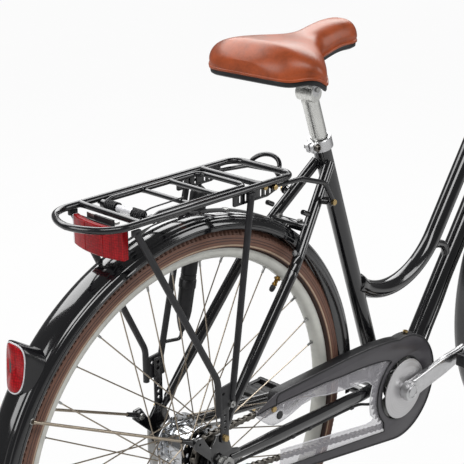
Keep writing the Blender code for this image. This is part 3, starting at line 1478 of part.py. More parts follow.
def brake_arm(name, side):
    pivot = brake_pivot(side, 0.0)
    up = STEER_DIR
    out = LEFT * side
    back = -STEER_FRONT
    low = pivot + back * 1.0
    outline = [(-6.5, -8.0), (6.5, -8.0), (7.0, 20.0), (5.0, 60.0), (4.0, BRAKE_ARM_LENGTH),
               (-4.0, BRAKE_ARM_LENGTH), (-5.0, 60.0), (-6.0, 20.0)]
    bm = bmesh.new()
    rings = []
    for depth in (2.5, 12.0):
        rings.append([bm.verts.new(low + back * depth + out * u + up * v) for u, v in outline])
    bm.faces.new(rings[0])
    bm.faces.new(list(reversed(rings[1])))
    ring_faces(bm, rings, False)
    bmesh.ops.recalc_face_normals(bm, faces=bm.faces)
    toward = pivot + back * 8.0 + up * 24.0 - FRONT_AXLE
    toward.y = 0.0
    toward.normalize()
    pad_mid = FRONT_AXLE + toward * PAD_R + out * BRAKE_PIVOT_Y
    pad_face = -(BRAKE_PIVOT_Y - RIM_W / 2.0 - PAD_GAP)
    stud = cylinder(pad_mid + out * 2.0, pad_mid + out * (pad_face + 6.0), 3.5, 8)
    pad = pad_block(pad_mid, out, toward, LEFT.cross(toward), pad_face)
    hole = cylinder(pivot - back * 20.0, pivot + back * 30.0, 3.8 + RUNNING, 10)
    node(name, cut(union(bm, stud, pad), hole), SILVER, pivot)


def pad_block(middle, out, up, back, face):
    half = PAD_H / 2.0
    bm = bmesh.new()
    rings = []
    for along in (-28.0, 28.0):
        ring = []
        for u, v in ((face, -half), (face + 8.0, -half), (face + 8.0, half), (face, half)):
            ring.append(bm.verts.new(middle + back * along + out * u + up * v))
        rings.append(ring)
    bm.faces.new(rings[0])
    bm.faces.new(list(reversed(rings[1])))
    ring_faces(bm, rings, False)
    bmesh.ops.recalc_face_normals(bm, faces=bm.faces)
    return bm


STEM_REACH = 45.0


def bar_points():
    """The handlebar's line from the right tip to the left one."""
    middle = on_steer(BAR_T, STEM_REACH)
    half = [
        Vector((0.0, 0.0, 0.0)), Vector((0.0, 40.0, 0.0)), Vector((34.0, 130.0, 30.0)),
        Vector((10.0, 235.0, BAR_RISE)), Vector((-70.0, 284.0, BAR_RISE)),
        Vector((-BAR_SWEEP, BAR_HALF_W, BAR_RISE - 8.0)),
    ]
    right = [middle + mirrored(p, -1.0) for p in reversed(half)]
    left = [middle + p for p in half[1:]]
    return right + left


def grip_line(side):
    """The tip of the handlebar on one side and the way inward along it."""
    points = bar_points()
    tip = points[0] if side < 0 else points[-1]
    inward = points[1] if side < 0 else points[-2]
    return tip, (inward - tip).normalized()


def front_end():
    quill = cylinder(on_steer(HEAD_LOW + HEAD_LENGTH + 12.0 + GAP), on_steer(BAR_T - 6.0), 11.0, 16)
    reach = cylinder(on_steer(BAR_T - 14.0), on_steer(BAR_T, STEM_REACH), 13.0, 14)
    middle = on_steer(BAR_T, STEM_REACH)
    clamp = cylinder(middle - LEFT * 21.0, middle + LEFT * 21.0, 19.0, 16)
    through = bore(middle - LEFT * 40.0, middle + LEFT * 40.0, BAR_R + GAP, 12)
    node("stem", cut(union(quill, reach, clamp), through), SILVER, STEER_BASE)
    points = bar_points()
    del points[len(points) // 2]
    path = rounded(points, 30.0, 2)
    bar = sweep(path, BAR_R, 10, up=Vector((0.0, 0.0, 1.0)))
    node("handlebar", union(bar, lever_bracket()), CHROME, STEER_BASE)
    for name, side, length in (("grip_right", -1.0, GRIP_LENGTH - 34.0),
                               ("grip_left", 1.0, GRIP_LENGTH)):
        tip, way = grip_line(side)
        r = GRIP_R
        hole_r = around(BAR_R + GAP, 12)
        profile = [
            (-4.0, 0.0), (-4.0, r - 4.0), (0.0, r), (length * 0.25, r + 1.0), (length * 0.6, r - 1.0),
            (length - 3.0, r), (length, r - 1.5), (length, hole_r), (-GAP, hole_r), (-GAP, 0.0),
        ]
        node(name, turned(profile, tip, way, 12), RUBBER, STEER_BASE)
    tip, way = grip_line(-1.0)
    start = GRIP_LENGTH - 34.0 + RUNNING
    hole_r = around(BAR_R + RUNNING, 12)
    profile = [
        (start, hole_r), (start, GRIP_R + 1.0), (start + 26.0, GRIP_R + 1.5),
        (start + 30.0, GRIP_R + 4.0), (start + 33.0, GRIP_R + 4.0), (start + 33.0, hole_r),
    ]
    node("twist_shifter", turned(profile, tip, way, 12, True), RUBBER, tip)


SHIFTER_END = GRIP_LENGTH - 34.0 + 2.0 * RUNNING + 33.0


def lever_frame():
    """The lever's pivot, the way inward along the bar, its axis and down."""
    tip, way = grip_line(-1.0)
    down = Vector((0.0, 0.0, -1.0))
    down = (down - way * down.dot(way)).normalized()
    out = way.cross(down).normalized()
    start = tip + way * (SHIFTER_END + GAP + 20.0)
    return start + down * (BAR_R + 12.0), way, out, down


def lever_bracket():
    pivot, way, out, down = lever_frame()
    root = pivot - down * (BAR_R + 12.0)
    collar = cylinder(root - way * 20.0, root + way * 10.0, BAR_R + 5.0, 16)
    body = sweep([root, pivot + down * 4.0], 1.0,
                 section=[(-9.0, -10.0), (9.0, -10.0), (9.0, 10.0), (-9.0, 10.0)], up=out)
    slot = sweep([pivot - down * 8.0, pivot + down * 14.0], 1.0,
                 section=[(-4.0, -40.0), (4.0, -40.0), (4.0, 40.0), (-4.0, 40.0)], up=out)
    pin = cylinder(pivot - out * 8.0, pivot + out * 8.0, 2.5, 8)
    return union(collar, cut(body, slot), pin)


def lever():
    """The brake lever in its bracket, inboard of the twist shifter."""
    pivot, way, out, down = lever_frame()
    knee = pivot + down * 16.0 - way * 26.0
    far = pivot + down * 44.0 - way * 128.0
    blade = sweep(rounded([pivot + way * 5.0, knee, far], 20.0, 3), 1.0,
                  section=[(-3.4, -4.5), (3.4, -4.5), (3.4, 4.5), (-3.4, 4.5)], up=out)
    hole = cylinder(pivot - out * 20.0, pivot + out * 20.0, 2.5 + RUNNING, 8)
    knob = cylinder(pivot - out * 3.4, pivot + out * 3.4, 7.0, 12)
    node("brake_lever", cut(union(blade, knob), hole), SILVER, pivot)


# Cables

CABLE_R = 2.5
CABLE_Y = -(DOWN_R + CABLE_R + 2.0 * GAP)


def smooth_path(points, step):
    """A cable's line through points, resampled so that it bends softly."""
    dense = []
    count = len(points)
    for i in range(count - 1):
        p0 = points[max(i - 1, 0)]
        p1 = points[i]
        p2 = points[i + 1]
        p3 = points[min(i + 2, count - 1)]
        pieces = max(2, int((p2 - p1).length / step))
        for k in range(pieces):
            t = k / pieces
            a = p1 * 2.0
            b = (p2 - p0) * t
            c = (p0 * 2.0 - p1 * 5.0 + p2 * 4.0 - p3) * t * t
            d = (p1 * 3.0 - p0 - p2 * 3.0 + p3) * t * t * t
            dense.append((a + b + c + d) * 0.5)
    dense.append(points[-1])
    return dense


def beside_down_tube(along):
    return on_down(along, 0.0, CABLE_Y)


def cables():
    path = [
        beside_down_tube(447.4), beside_down_tube(369.9), beside_down_tube(290.7),
        beside_down_tube(218.4), beside_down_tube(159.8), on_down(107.3, -4.3, CABLE_Y),
        on_down(56.3, -5.1, CABLE_Y), point(575.0, -24.0, -42.0),
        point(530.0, -20.0, -84.0), point(475.0, -18.0, -94.0), point(425.0, -24.0, -82.0),
        point(375.0, -37.0, -59.5), point(330.0, -41.0, -52.5), point(250.0, -49.0, -43.0),
        point(140.0, -59.0, -30.5), point(70.0, -63.0, -21.0), point(30.0, -58.5, -23.0),
    ]
    gear = sweep(smooth_path(path, 26.0), CABLE_R, 6, up=LEFT)
    node("gear_cable", gear, RUBBER)
    tip, way = grip_line(-1.0)
    pivot, way, out, down = lever_frame()
    below = (out * 1.8 + down).normalized()
    leave = tip + way * (SHIFTER_END - 3.0) + below * (GRIP_R + 4.0 + CABLE_R + 0.5)
    joint = beside_down_tube(447.4)
    path = [
        leave, tip + way * (SHIFTER_END + 16.0) + out * 23.0 + down * 22.0,
        tip + way * (SHIFTER_END + 50.0) + out * 25.0 + down * 44.0,
        on_steer(BAR_T - 60.0, 92.0, -96.0), on_steer(BAR_T - 130.0, 76.0, -64.0),
        on_steer(HEAD_LOW + 150.0, 42.0, -48.0), on_steer(HEAD_LOW + 90.0, 16.0, -34.0),
        joint + TWIN_DIR * 56.0, joint + TWIN_DIR * 0.5,
    ]
    node("gear_cable_loop", sweep(smooth_path(path, 24.0), CABLE_R, 6, up=LEFT), RUBBER, STEER_BASE)
    lever()
    start = pivot + way * 10.6
    noodle = brake_pivot(-1.0, 9.0) + STEER_DIR * (BRAKE_ARM_LENGTH + 1.5)
    path = [
        start, start + way * 14.0, start + way * 64.0 + Vector((0.0, 16.0, -4.0)),
        on_steer(BAR_T - 40.0, 74.0, -110.0), on_steer(BAR_T - 150.0, 66.0, -84.0),
        on_steer(HEAD_LOW + 50.0, 40.0, -68.0), on_steer(HEAD_LOW + 6.0, 12.0, -66.0),
        noodle + STEER_DIR * 14.0 - LEFT * 2.0, noodle,
    ]
    path = smooth_path(path, 24.0)
    radii = [3.7, 3.7] + [CABLE_R] * (len(path) - 2)
    node("brake_cable", sweep(path, radii, 6, up=LEFT), RUBBER, STEER_BASE)


def main():
    for ob in list(bpy.data.objects):
        bpy.data.objects.remove(ob, do_unlink=True)
    wheels()
    valve()
    seat_tube()
    cutters = main_tubes()
    rear_frame(*cutters)
    seat_parts()
    saddle_cover()
    saddle_base()
    saddle_clamp()
    rear_mudguard()
    tail_lamp()
    rack()
    flap()
    spring("flap_spring_left", 42.0, 16.0)
    spring("flap_spring_right", -33.0, -7.0)
    legs(1.0, "rack_legs_left")
    legs(-1.0, "rack_legs_right")
    strip(1.0, "rack_strip_left")
    strip(-1.0, "rack_strip_right")
    pump()
    reflector()
    drive()
    rear_axle()
    chain_case()
    stand()
    fork()
    front_axle()
    front_mudguard()
    brake_arm("brake_arm_right", -1.0)
    brake_arm("brake_arm_left", 1.0)
    front_end()
    cables()
    print("nodes", len(bpy.data.objects))


main()
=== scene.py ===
"""A step-through city bicycle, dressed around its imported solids.

Every piece is drawn in millimetres counted from the rear axle, with X forward,
Y to the rider's left and Z up, and is then set down in metres where its solid
stands.
"""

import math

import bpy
from bpy.props import FloatProperty, FloatVectorProperty, IntProperty, PointerProperty
from mathutils import Matrix, Vector


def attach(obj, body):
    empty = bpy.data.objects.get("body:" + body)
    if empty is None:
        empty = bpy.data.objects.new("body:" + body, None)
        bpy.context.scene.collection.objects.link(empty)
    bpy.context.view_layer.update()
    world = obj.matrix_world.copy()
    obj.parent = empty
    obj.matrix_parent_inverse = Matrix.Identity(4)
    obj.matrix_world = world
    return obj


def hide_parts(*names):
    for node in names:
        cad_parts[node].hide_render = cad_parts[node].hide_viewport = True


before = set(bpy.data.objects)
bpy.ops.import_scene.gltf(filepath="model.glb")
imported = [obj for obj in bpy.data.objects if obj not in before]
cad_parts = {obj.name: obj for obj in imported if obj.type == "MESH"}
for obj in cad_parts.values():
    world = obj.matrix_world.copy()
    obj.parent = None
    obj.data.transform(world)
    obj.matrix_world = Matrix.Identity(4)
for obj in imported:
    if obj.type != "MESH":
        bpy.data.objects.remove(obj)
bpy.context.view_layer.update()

bl_info = {
    "name": "Step-through city bicycle",
    "version": (1, 0, 0),
    "blender": (4, 5, 0),
    "location": "View3D > Sidebar > Bicycle",
    "description": "Builds the visible pieces of a city bicycle around its solids",
    "category": "Object",
}

MM = 0.001
UP = Vector((0, 0, 1))
LEFT = Vector((0, 1, 0))
AHEAD = Vector((1, 0, 0))


def from_hex(text):
    """An sRGB hex colour as linear red, green and blue."""
    out = []
    for i in (1, 3, 5):
        c = int(text[i:i + 2], 16) / 255
        out.append(c / 12.92 if c <= 0.04045 else ((c + 0.055) / 1.055) ** 2.4)
    return tuple(out)


def size(name, default, words):
    return FloatProperty(name=name, default=default, min=0, description=words)


def tint(name, text, words):
    return FloatVectorProperty(name=name, subtype="COLOR", min=0, max=1, default=from_hex(text),
        description=words)


# Lengths in millimetres and angles in degrees

TYRE_R = 350
GUARD_R = 373
WHEELBASE = 1128
STAND_LIFT = 20
AXLE_Z = TYRE_R + STAND_LIFT
ORIGIN_X = (WHEELBASE + TYRE_R - GUARD_R) / 2
HEAD_ANGLE = 69
SEAT_ANGLE = 70
TWIN_ANGLE = 54.5
FORK_OFFSET = 58
HEAD_LOW = 420
HEAD_LENGTH = 222
SEAT_TUBE_TOP = 516
SADDLE_PIVOT = 602
CRANK_LENGTH = 170
CRANK_ANGLE = 7
PITCH = 12.7
RING_TEETH = 36
COG_TEETH = 18
RING_R = PITCH / (2 * math.sin(math.pi / RING_TEETH))
COG_R = PITCH / (2 * math.sin(math.pi / COG_TEETH))
CHAIN_Y = -45
BRAKE_T = math.sqrt(282 ** 2 - FORK_OFFSET ** 2)
BRAKE_Y = 45.5
BAR_T = HEAD_LOW + HEAD_LENGTH + 95
BAR_AHEAD = 45
SADDLE_REAR_X = 121
SADDLE_LENGTH = 248
SADDLE_WIDTH = 215
SADDLE_NOSE_W = 62


# Sizes and colours

class BicycleSizes(bpy.types.PropertyGroup):
    """Sizes of the whole bicycle, in millimetres."""

    seat_tube_r: size("Seat tube radius", 14.6, "Outside radius")
    swan_r: size("Curved tube radius", 16, "Outside radius")
    down_r: size("Down tube radius", 17.5, "Outside radius")
    post_r: size("Seat post radius", 13.6, "Outside radius")
    rack_z: size("Carrier height", 411, "Carrier's rails above the rear axle")
    rack_half_w: size("Carrier half width", 62, "Rail's middle from the middle plane")
    tube_sides: IntProperty(name="Tube sides", default=20, min=8, description="Facets round a tube")


class WheelSizes(bpy.types.PropertyGroup):
    """Sizes of both wheels, in millimetres."""

    tyre_r: size("Tyre radius", TYRE_R, "Axle to tread")
    tyre_w: size("Tyre width", 42, "Across the walls")
    rim_r: size("Rim radius", 317, "Axle to the rim's edge")
    rim_inner_r: size("Rim inner radius", 300, "Axle to the rim's inner face")
    rim_w: size("Rim width", 25, "Across the rim")
    guard_r: size("Mudguard radius", GUARD_R, "Axle to the guard's crown")
    guard_lip_r: size("Mudguard lip radius", 349, "Axle to the guard's lip")
    guard_half_w: size("Mudguard half width", 29, "Half the blade's width")
    spokes: IntProperty(name="Spokes", default=36, min=12, description="Spokes in each wheel")
    notches: IntProperty(name="Tread notches", default=250, min=20, description="Round each shoulder")


class BicycleColours(bpy.types.PropertyGroup):
    """Colours of the finishes."""

    enamel: tint("Enamel", "#0D0D0F", "Frame, guards and carrier")
    saddle: tint("Saddle", "#95431A", "Saddle's skin")
    rubber: tint("Tyre", "#6B4A3C", "Tyre's brown rubber")
    stripe: tint("Tyre stripe", "#A8927C", "Pale band round the tyre")
    rim: tint("Rim", "#C9C9C2", "Rim's pale coat")
    lens: tint("Lens", "#9A0410", "Lamp and reflector")
    case: tint("Chain case", "#3B393D", "Case's face")
    alloy: tint("Aluminium", "#D2D2D3", "Cranks, stem and clamps")
    post: tint("Seat post", "#E2E2DE", "Anodised seat post")


class StageSizes(bpy.types.PropertyGroup):
    """The room for the picture."""

    floor_size: FloatProperty(name="Floor", default=16, unit="LENGTH", description="Floor's width")
    key_power: FloatProperty(name="Key lamp", default=60, description="Watts of the large lamp")


def sizes():
    return bpy.context.scene.bicycle_sizes


def wheel_sizes():
    return bpy.context.scene.bicycle_wheels


def colours():
    return bpy.context.scene.bicycle_colours


# Places

def point(x, y, z):
    return Vector((x, y, z))


def polar(angle, length=1):
    """A step in the middle plane, angle in degrees above forward."""
    a = math.radians(angle)
    return Vector((length * math.cos(a), 0, length * math.sin(a)))


REAR_AXLE = point(0, 0, 0)
FRONT_AXLE = point(WHEELBASE, 0, -STAND_LIFT)
BB = point(475.7, 0, -56.4)
SEAT_DIR = polar(180 - SEAT_ANGLE)
STEER_DIR = polar(180 - HEAD_ANGLE)
STEER_FRONT = polar(90 - HEAD_ANGLE)
STEER_BASE = FRONT_AXLE - STEER_FRONT * FORK_OFFSET
TWIN_DIR = polar(TWIN_ANGLE)


def on_seat(t):
    return BB + SEAT_DIR * t


def on_steer(t, ahead=0, y=0):
    return STEER_BASE + STEER_DIR * t + STEER_FRONT * ahead + LEFT * y


def meet(origin, way, other, other_way):
    """Where two lines of the middle plane cross."""
    det = way.x * -other_way.z + way.z * other_way.x
    dx = other.x - origin.x
    dz = other.z - origin.z
    return origin + way * ((dx * -other_way.z + dz * other_way.x) / det)


TILT = on_seat(SADDLE_PIVOT)


def rounded(corners, radius, steps=10, closed=False):
    """A path through corner points whose bends have a radius."""
    radii = radius if isinstance(radius, (list, tuple)) else [radius] * len(corners)
    path = []
    count = len(corners)
    for i, corner in enumerate(corners):
        if not closed and i in (0, count - 1):
            path.append(corner.copy())
            continue
        back = (corners[i - 1] - corner).normalized()
        ahead = (corners[(i + 1) % count] - corner).normalized()
        half = back.angle(ahead) / 2
        reach = radii[i] / math.tan(half)
        centre = corner + (back + ahead).normalized() * radii[i] / math.sin(half)
        start = corner + back * reach - centre
        axis = start.cross(-back).normalized()
        for k in range(steps + 1):
            turn = (math.pi - 2 * half) * k / steps
            path.append(centre + Matrix.Rotation(turn, 3, axis) @ start)
    return path


def soft_path(points, step):
    """A cable's line through points, resampled so that it bends softly."""
    dense = []
    for i in range(len(points) - 1):
        p0 = points[max(i - 1, 0)]
        p1 = points[i]
        p2 = points[i + 1]
        p3 = points[min(i + 2, len(points) - 1)]
        pieces = max(2, int((p2 - p1).length / step))
        for k in range(pieces):
            t = k / pieces
            b = (p2 - p0) * t
            c = (p0 * 2 - p1 * 5 + p2 * 4 - p3) * t * t
            d = (p1 * 3 - p0 - p2 * 3 + p3) * t * t * t
            dense.append((p1 * 2 + b + c + d) * 0.5)
    dense.append(points[-1].copy())
    return dense


def squared(value, power):
    """A sine or cosine drawn towards plus or minus 1, for a round with flattened sides."""
    return math.copysign(abs(value) ** power, value)


def soft_outline(corners, radius, steps=3):
    """(x, z) corners as an outline whose bends have a radius."""
    line = rounded([point(x, 0, z) for x, z in corners], radius, steps, True)
    return [(p.x, p.z) for p in line]


def soft_edge(places, step):
    """(x, z) points on a soft curve through places."""
    return [(p.x, p.z) for p in soft_path([point(x, 0, z) for x, z in places], step)]


def arc(cx, cz, radius, start, stop, steps):
    """(x, z) points on a circle, angles in degrees."""
    out = []
    for i in range(steps + 1):
        a = math.radians(start + (stop - start) * i / steps)
        out.append((cx + radius * math.cos(a), cz + radius * math.sin(a)))
    return out


# Modelling

def deselect():
    if bpy.context.object and bpy.context.object.mode != "OBJECT":
        bpy.ops.object.mode_set(mode="OBJECT")
    bpy.ops.object.select_all(action="DESELECT")


def pick(*obs):
    """Select only these, the first one active."""
    deselect()
    for ob in obs:
        ob.select_set(True)
    bpy.context.view_layer.objects.active = obs[0]
    return obs[0]


def edit_all(ob):
    pick(ob)
    bpy.ops.object.mode_set(mode="EDIT")
    bpy.ops.mesh.select_mode(type="VERT")
    bpy.ops.mesh.select_all(action="SELECT")


def leave_edit():
    bpy.ops.object.mode_set(mode="OBJECT")


def weld(ob, within=0.005):
    """Merge doubles and turn the faces outwards."""
    edit_all(ob)
    bpy.ops.mesh.remove_doubles(threshold=within)
    bpy.ops.mesh.normals_make_consistent(inside=False)
    leave_edit()
    return ob


def fresh_curve():
    """A curve object with no line in it yet."""
    deselect()
    bpy.ops.curve.primitive_nurbs_path_add()
    ob = bpy.context.object
    ob.data.splines.clear()
    return ob, ob.data


def wire(points, closed, radius=0, sides=16, radii=None):
    """A line through points, as a curve."""
    ob, curve = fresh_curve()
    line = curve.splines.new("POLY")
    line.points.add(len(points) - 1)
    for i, p in enumerate(points):
        line.points[i].co = (p.x, p.y, p.z, 1)
        line.points[i].radius = radii[i] if radii else 1
    line.use_cyclic_u = closed
    line.use_smooth = True
    curve.bevel_depth = radius
    curve.bevel_resolution = max(sides // 2 - 2, 0)
    curve.use_fill_caps = not closed
    return ob


def tube(points, radius, sides=16, closed=False, radii=None):
    """A rod or tube along points."""
    ob = wire(points, closed, radius, sides, radii)
    bpy.ops.object.convert(target="MESH")
    return weld(ob)


def rod(a, b, radius, sides=16):
    """A short straight rod with softened ends."""
    way = (b - a).normalized()
    soft = min(radius * 0.18, (b - a).length * 0.3)
    points = [a, a + way * soft, b - way * soft, b]
    rim = 1 - soft / radius
    return tube(points, radius, sides, False, [rim, 1, 1, rim])


def lathed(line, centre, axis, steps, closed=True):
    """A body turned about an axis from a line of (along, radius) pairs."""
    axis = axis.normalized()
    side = AHEAD if abs(axis.y) > 0.9 else axis.cross(LEFT).normalized()
    ob = wire([centre + axis * along + side * radius for along, radius in line], closed)
    bpy.ops.object.convert(target="MESH")
    edit_all(ob)
    bpy.ops.mesh.spin(steps=steps, angle=math.tau, use_auto_merge=True, center=centre, axis=axis)
    leave_edit()
    return weld(ob)


def turned(profile, centre, axis, steps=48, bore=0):
    """A lathed body whose two ends close on its axis or on a bore."""
    line = [(profile[0][0], bore), *profile]
    if profile[-1][1] != bore:
        line.append((profile[-1][0], bore))
    return lathed(line, centre, axis, steps, bore > 0)


def plate(outline, y0, y1, soft=0.4, holes=()):
    """A flat plate parallel to the middle plane from (x, z) points."""
    ob, curve = fresh_curve()
    curve.dimensions = "2D"
    for ring in (outline, *holes):
        line = curve.splines.new("POLY")
        line.points.add(len(ring) - 1)
        for i, (x, z) in enumerate(ring):
            line.points[i].co = (x, z, 0, 1)
        line.use_cyclic_u = True
    curve.fill_mode = "BOTH"
    curve.extrude = abs(y1 - y0) / 2 - soft
    curve.bevel_depth = soft
    curve.bevel_resolution = 1
    curve.offset = -soft
    ob.rotation_euler = (math.pi / 2, 0, 0)
    ob.location = (0, (y0 + y1) / 2, 0)
    bpy.ops.object.convert(target="MESH")
    bpy.ops.object.transform_apply(location=True, rotation=True, scale=True)
    return weld(bpy.context.object)


def block(low, high, soft=0.8):
    """A bar with rounded edges between two corners."""
    deselect()
    middle = (low + high) / 2
    bpy.ops.mesh.primitive_cube_add(size=1, location=middle, scale=high - low)
    ob = bpy.context.object
    bpy.ops.object.transform_apply(location=True, rotation=True, scale=True)
    return soften_edges(ob, soft)


def fill_ends(ob):
    edit_all(ob)
    bpy.ops.mesh.fill_holes(sides=0)
    bpy.ops.mesh.normals_make_consistent(inside=False)
    leave_edit()


def soften_edges(ob, width):
    edit_all(ob)
    bpy.ops.mesh.bevel(offset=width, segments=2, affect="EDGES")
    leave_edit()
    return ob


def skin(rings, closed_along=False):
    """A surface over closed rings of equal counts, its open ends filled."""
    deselect()
    spans = len(rings) - 1 + int(closed_along)
    across = len(rings[0])
    bpy.ops.mesh.primitive_grid_add(x_subdivisions=spans, y_subdivisions=across, size=2)
    ob = bpy.context.object
    for v in ob.data.vertices:
        i = round((v.co.x + 1) / 2 * spans) % len(rings)
        j = round((v.co.y + 1) / 2 * across) % len(rings[0])
        v.co = rings[i][j]
    weld(ob)
    if not closed_along:
        fill_ends(ob)
    return ob


def bolt(at, way, radius, height, sides=6, socket=0):
    """A bolt's head; a socket size opens a hexagon in its face."""
    deselect()
    turn = way.to_track_quat("Z", "Y").to_euler()
    bpy.ops.mesh.primitive_cylinder_add(vertices=sides, radius=radius, depth=height, location=at + way
        * height / 2, rotation=turn)
    ob = bpy.context.object
    bpy.ops.object.transform_apply(location=True, rotation=True, scale=True)
    faces = ob.data.polygons
    face = max(faces, key=lambda f: f.normal.dot(way) * (len(f.vertices) > 4)).index
    pick(ob)
    bpy.ops.object.mode_set(mode="EDIT")
    bpy.ops.mesh.select_all(action="DESELECT")
    leave_edit()
    ob.data.polygons[face].select = True
    bpy.ops.object.mode_set(mode="EDIT")
    bpy.ops.mesh.select_mode(type="FACE")
    bpy.ops.mesh.inset(thickness=radius * 0.14)
    bpy.ops.transform.translate(value=way * radius * 0.12)
    if socket:
        bpy.ops.mesh.inset(thickness=radius * 0.86 - socket)
        bpy.ops.mesh.extrude_region_move(TRANSFORM_OT_translate={"value": tuple(way * -height * 0.5)})
    leave_edit()
    return ob


def paint(ob, make):
    """Gives a part the finish that this maker makes."""
    ob.data.materials.clear()
    ob.data.materials.append(finish_of(make))
    return ob


def copies(ob, matrices):
    """Copies of a small piece, each with its own mesh, joined to one."""
    made = [ob]
    for m in matrices[1:]:
        other = ob.copy()
        other.data = ob.data.copy()
        bpy.context.scene.collection.objects.link(other)
        other.matrix_world = m
        made.append(other)
    ob.matrix_world = matrices[0]
    return joined(made)


def joined(parts):
    first = pick(*parts)
    if len(parts) > 1:
        bpy.ops.object.join()
    bpy.ops.object.transform_apply(location=True, rotation=True, scale=True)
    return first


def finish(parts, name, body, nodes, angle=32):
    """Join a piece's parts, set it down in metres and tie it to its body."""
    ob = joined(parts)
    ob.name = name
    ob.data.name = name
    ob.scale = (MM, MM, MM)
    ob.location = Vector((-ORIGIN_X, 0, AXLE_Z)) * MM
    pick(ob)
    bpy.ops.object.transform_apply(location=True, rotation=True, scale=True)
    bpy.ops.object.shade_smooth_by_angle(angle=math.radians(angle))
    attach(ob, body)
    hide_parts(*nodes)
    return ob


# Finishes

def add(tree, kind, inputs=None, **settings):
    """One shader node with its settings; inputs hold values or the sockets that feed them."""
    node = tree.nodes.new("ShaderNode" + kind)
    for key, value in settings.items():
        setattr(node, key, value)
    for key, value in (inputs or {}).items():
        if isinstance(value, bpy.types.NodeSocket):
            tree.links.new(value, node.inputs[key])
        else:
            node.inputs[key].default_value = value
    return node


def started(name):
    """A new material, its empty tree and the piece's own coordinates."""
    made = bpy.data.materials.new(name)
    made.use_nodes = True
    tree = made.node_tree
    tree.nodes.clear()
    where = add(tree, "TexCoord").outputs["Object"]
    return made, tree, where


def rgba(colour, share=1):
    return (colour[0] * share, colour[1] * share, colour[2] * share, 1)


def hex_rgba(text):
    return rgba(from_hex(text))


def per_mm(millimetres):
    """The scale at which a pattern repeats every so many millimetres."""
    return 1 / (millimetres * MM)


def mottled(tree, where, first, second, millimetres, detail=4, low=0.35, high=0.65):
    """Two colours mixed by a cloudy pattern of this size."""
    cloud = add(tree, "TexNoise", {"Vector": where, "Scale": per_mm(millimetres), "Detail": detail,
        "Roughness": 0.6})
    share = add(tree, "MapRange", {"Value": cloud.outputs["Fac"], "From Min": low, "From Max": high})
    mixed = add(tree, "Mix", {"Factor": share.outputs[0], "A": first, "B": second}, data_type="RGBA")
    return mixed.outputs["Result"], cloud.outputs["Fac"]


def grained(tree, where, millimetres, depth_mm, strength):
    """The dents of a grain of this size and depth."""
    grain = add(tree, "TexNoise", {"Vector": where, "Scale": per_mm(millimetres)})
    return add(tree, "Bump", {"Height": grain.outputs["Fac"], "Distance": depth_mm * MM,
        "Strength": strength}).outputs[0]


FINISHES = {}


def finish_of(make):
    """The material that a maker gives with its shader, made once."""
    if make.__name__ not in FINISHES:
        made, shader = make()
        add(made.node_tree, "OutputMaterial", {"Surface": shader.outputs[0]})
        FINISHES[make.__name__] = made
    return FINISHES[make.__name__]


def coated(name, first, second, cloud_mm, grain, rough, more, detail=4, low=0.35, high=0.65):
    """A finish that isn't metal: a cloudy colour and gloss over a fine grain."""
    made, tree, where = started(name)
    colour, cloud = mottled(tree, where, first, second, cloud_mm, detail, low, high)
    gloss = add(tree, "MapRange", {"Value": cloud, "From Min": 0.3, "From Max": 0.7, "To Min": rough[0],
        "To Max": rough[1]})
    shader = add(tree, "BsdfPrincipled", {"Base Color": colour, "Roughness": gloss.outputs[0],
        "Normal": grained(tree, where, *grain), **more})
    return made, shader


def frame_enamel():
    # Stove enamel over steel: a deep black under a hard clear gloss, faintly uneven.
    base = colours().enamel
    return coated("frame_enamel", rgba(base), rgba(base, 1.35), 60, (34, 0.05, 0.1), (0.1, 0.16),
        {"IOR": 1.5, "Coat Weight": 0.8, "Coat Roughness": 0.05})


def carrier_enamel():
    # Powder coat over steel wire: black, softer than the frame's, with a fine orange peel.
    return coated("carrier_powder_coat", hex_rgba("#0D0D0F"), hex_rgba("#131316"), 30, (2.6, 0.01, 0.2),
        (0.14, 0.22), {"IOR": 1.5, "Coat Weight": 0.35, "Coat Roughness": 0.12})


def leg_enamel():
    # Satin powder coat: the carrier's legs are greyer and duller than its rails.
    return coated("leg_satin_coat", hex_rgba("#161618"), hex_rgba("#202023"), 25, (1.6, 0.015, 0.3),
        (0.38, 0.5), {"IOR": 1.5})


def saddle_hide():
    # Glazed vinyl hide over foam: chestnut, darker and lighter in broad random clouds, with a fine pebble
    # grain.
    made, tree, where = started("saddle_hide")
    base = colours().saddle
    colour, cloud = mottled(tree, where, rgba(base, 0.62), rgba(base, 1.12), 38, 5, 0.3, 0.62)
    fine, _ = mottled(tree, where, rgba((1, 1, 1), 0.86), rgba((1, 1, 1)), 3.2)
    both = add(tree, "Mix", {"Factor": 1, "A": colour, "B": fine}, data_type="RGBA", blend_type="MULTIPLY")
    pebble = add(tree, "TexVoronoi", {"Vector": where, "Scale": per_mm(1.5)}, feature="SMOOTH_F1")
    folds = add(tree, "TexNoise", {"Vector": where, "Scale": per_mm(14), "Detail": 3})
    first = add(tree, "Bump", {"Height": pebble.outputs["Distance"], "Distance": 0.05 * MM,
        "Strength": 0.35})
    bump = add(tree, "Bump", {"Height": folds.outputs["Fac"], "Distance": 0.5 * MM, "Strength": 0.35,
        "Normal": first.outputs[0]})
    gloss = add(tree, "MapRange", {"Value": cloud, "From Min": 0.3, "From Max": 0.7, "To Min": 0.34,
        "To Max": 0.46})
    shader = add(tree, "BsdfPrincipled", {"Base Color": both.outputs["Result"],
        "Roughness": gloss.outputs[0], "Normal": bump.outputs[0], "IOR": 1.45, "Coat Weight": 0.22,
        "Coat Roughness": 0.26, "Coat Tint": hex_rgba("#FFD9B4")})
    return made, shader


def moulded_black():
    # Moulded polypropylene: near black, with a fine spark-eroded grain.
    return coated("moulded_black", hex_rgba("#101012"), hex_rgba("#18181B"), 20, (0.9, 0.02, 0.3),
        (0.36, 0.5), {"IOR": 1.49})


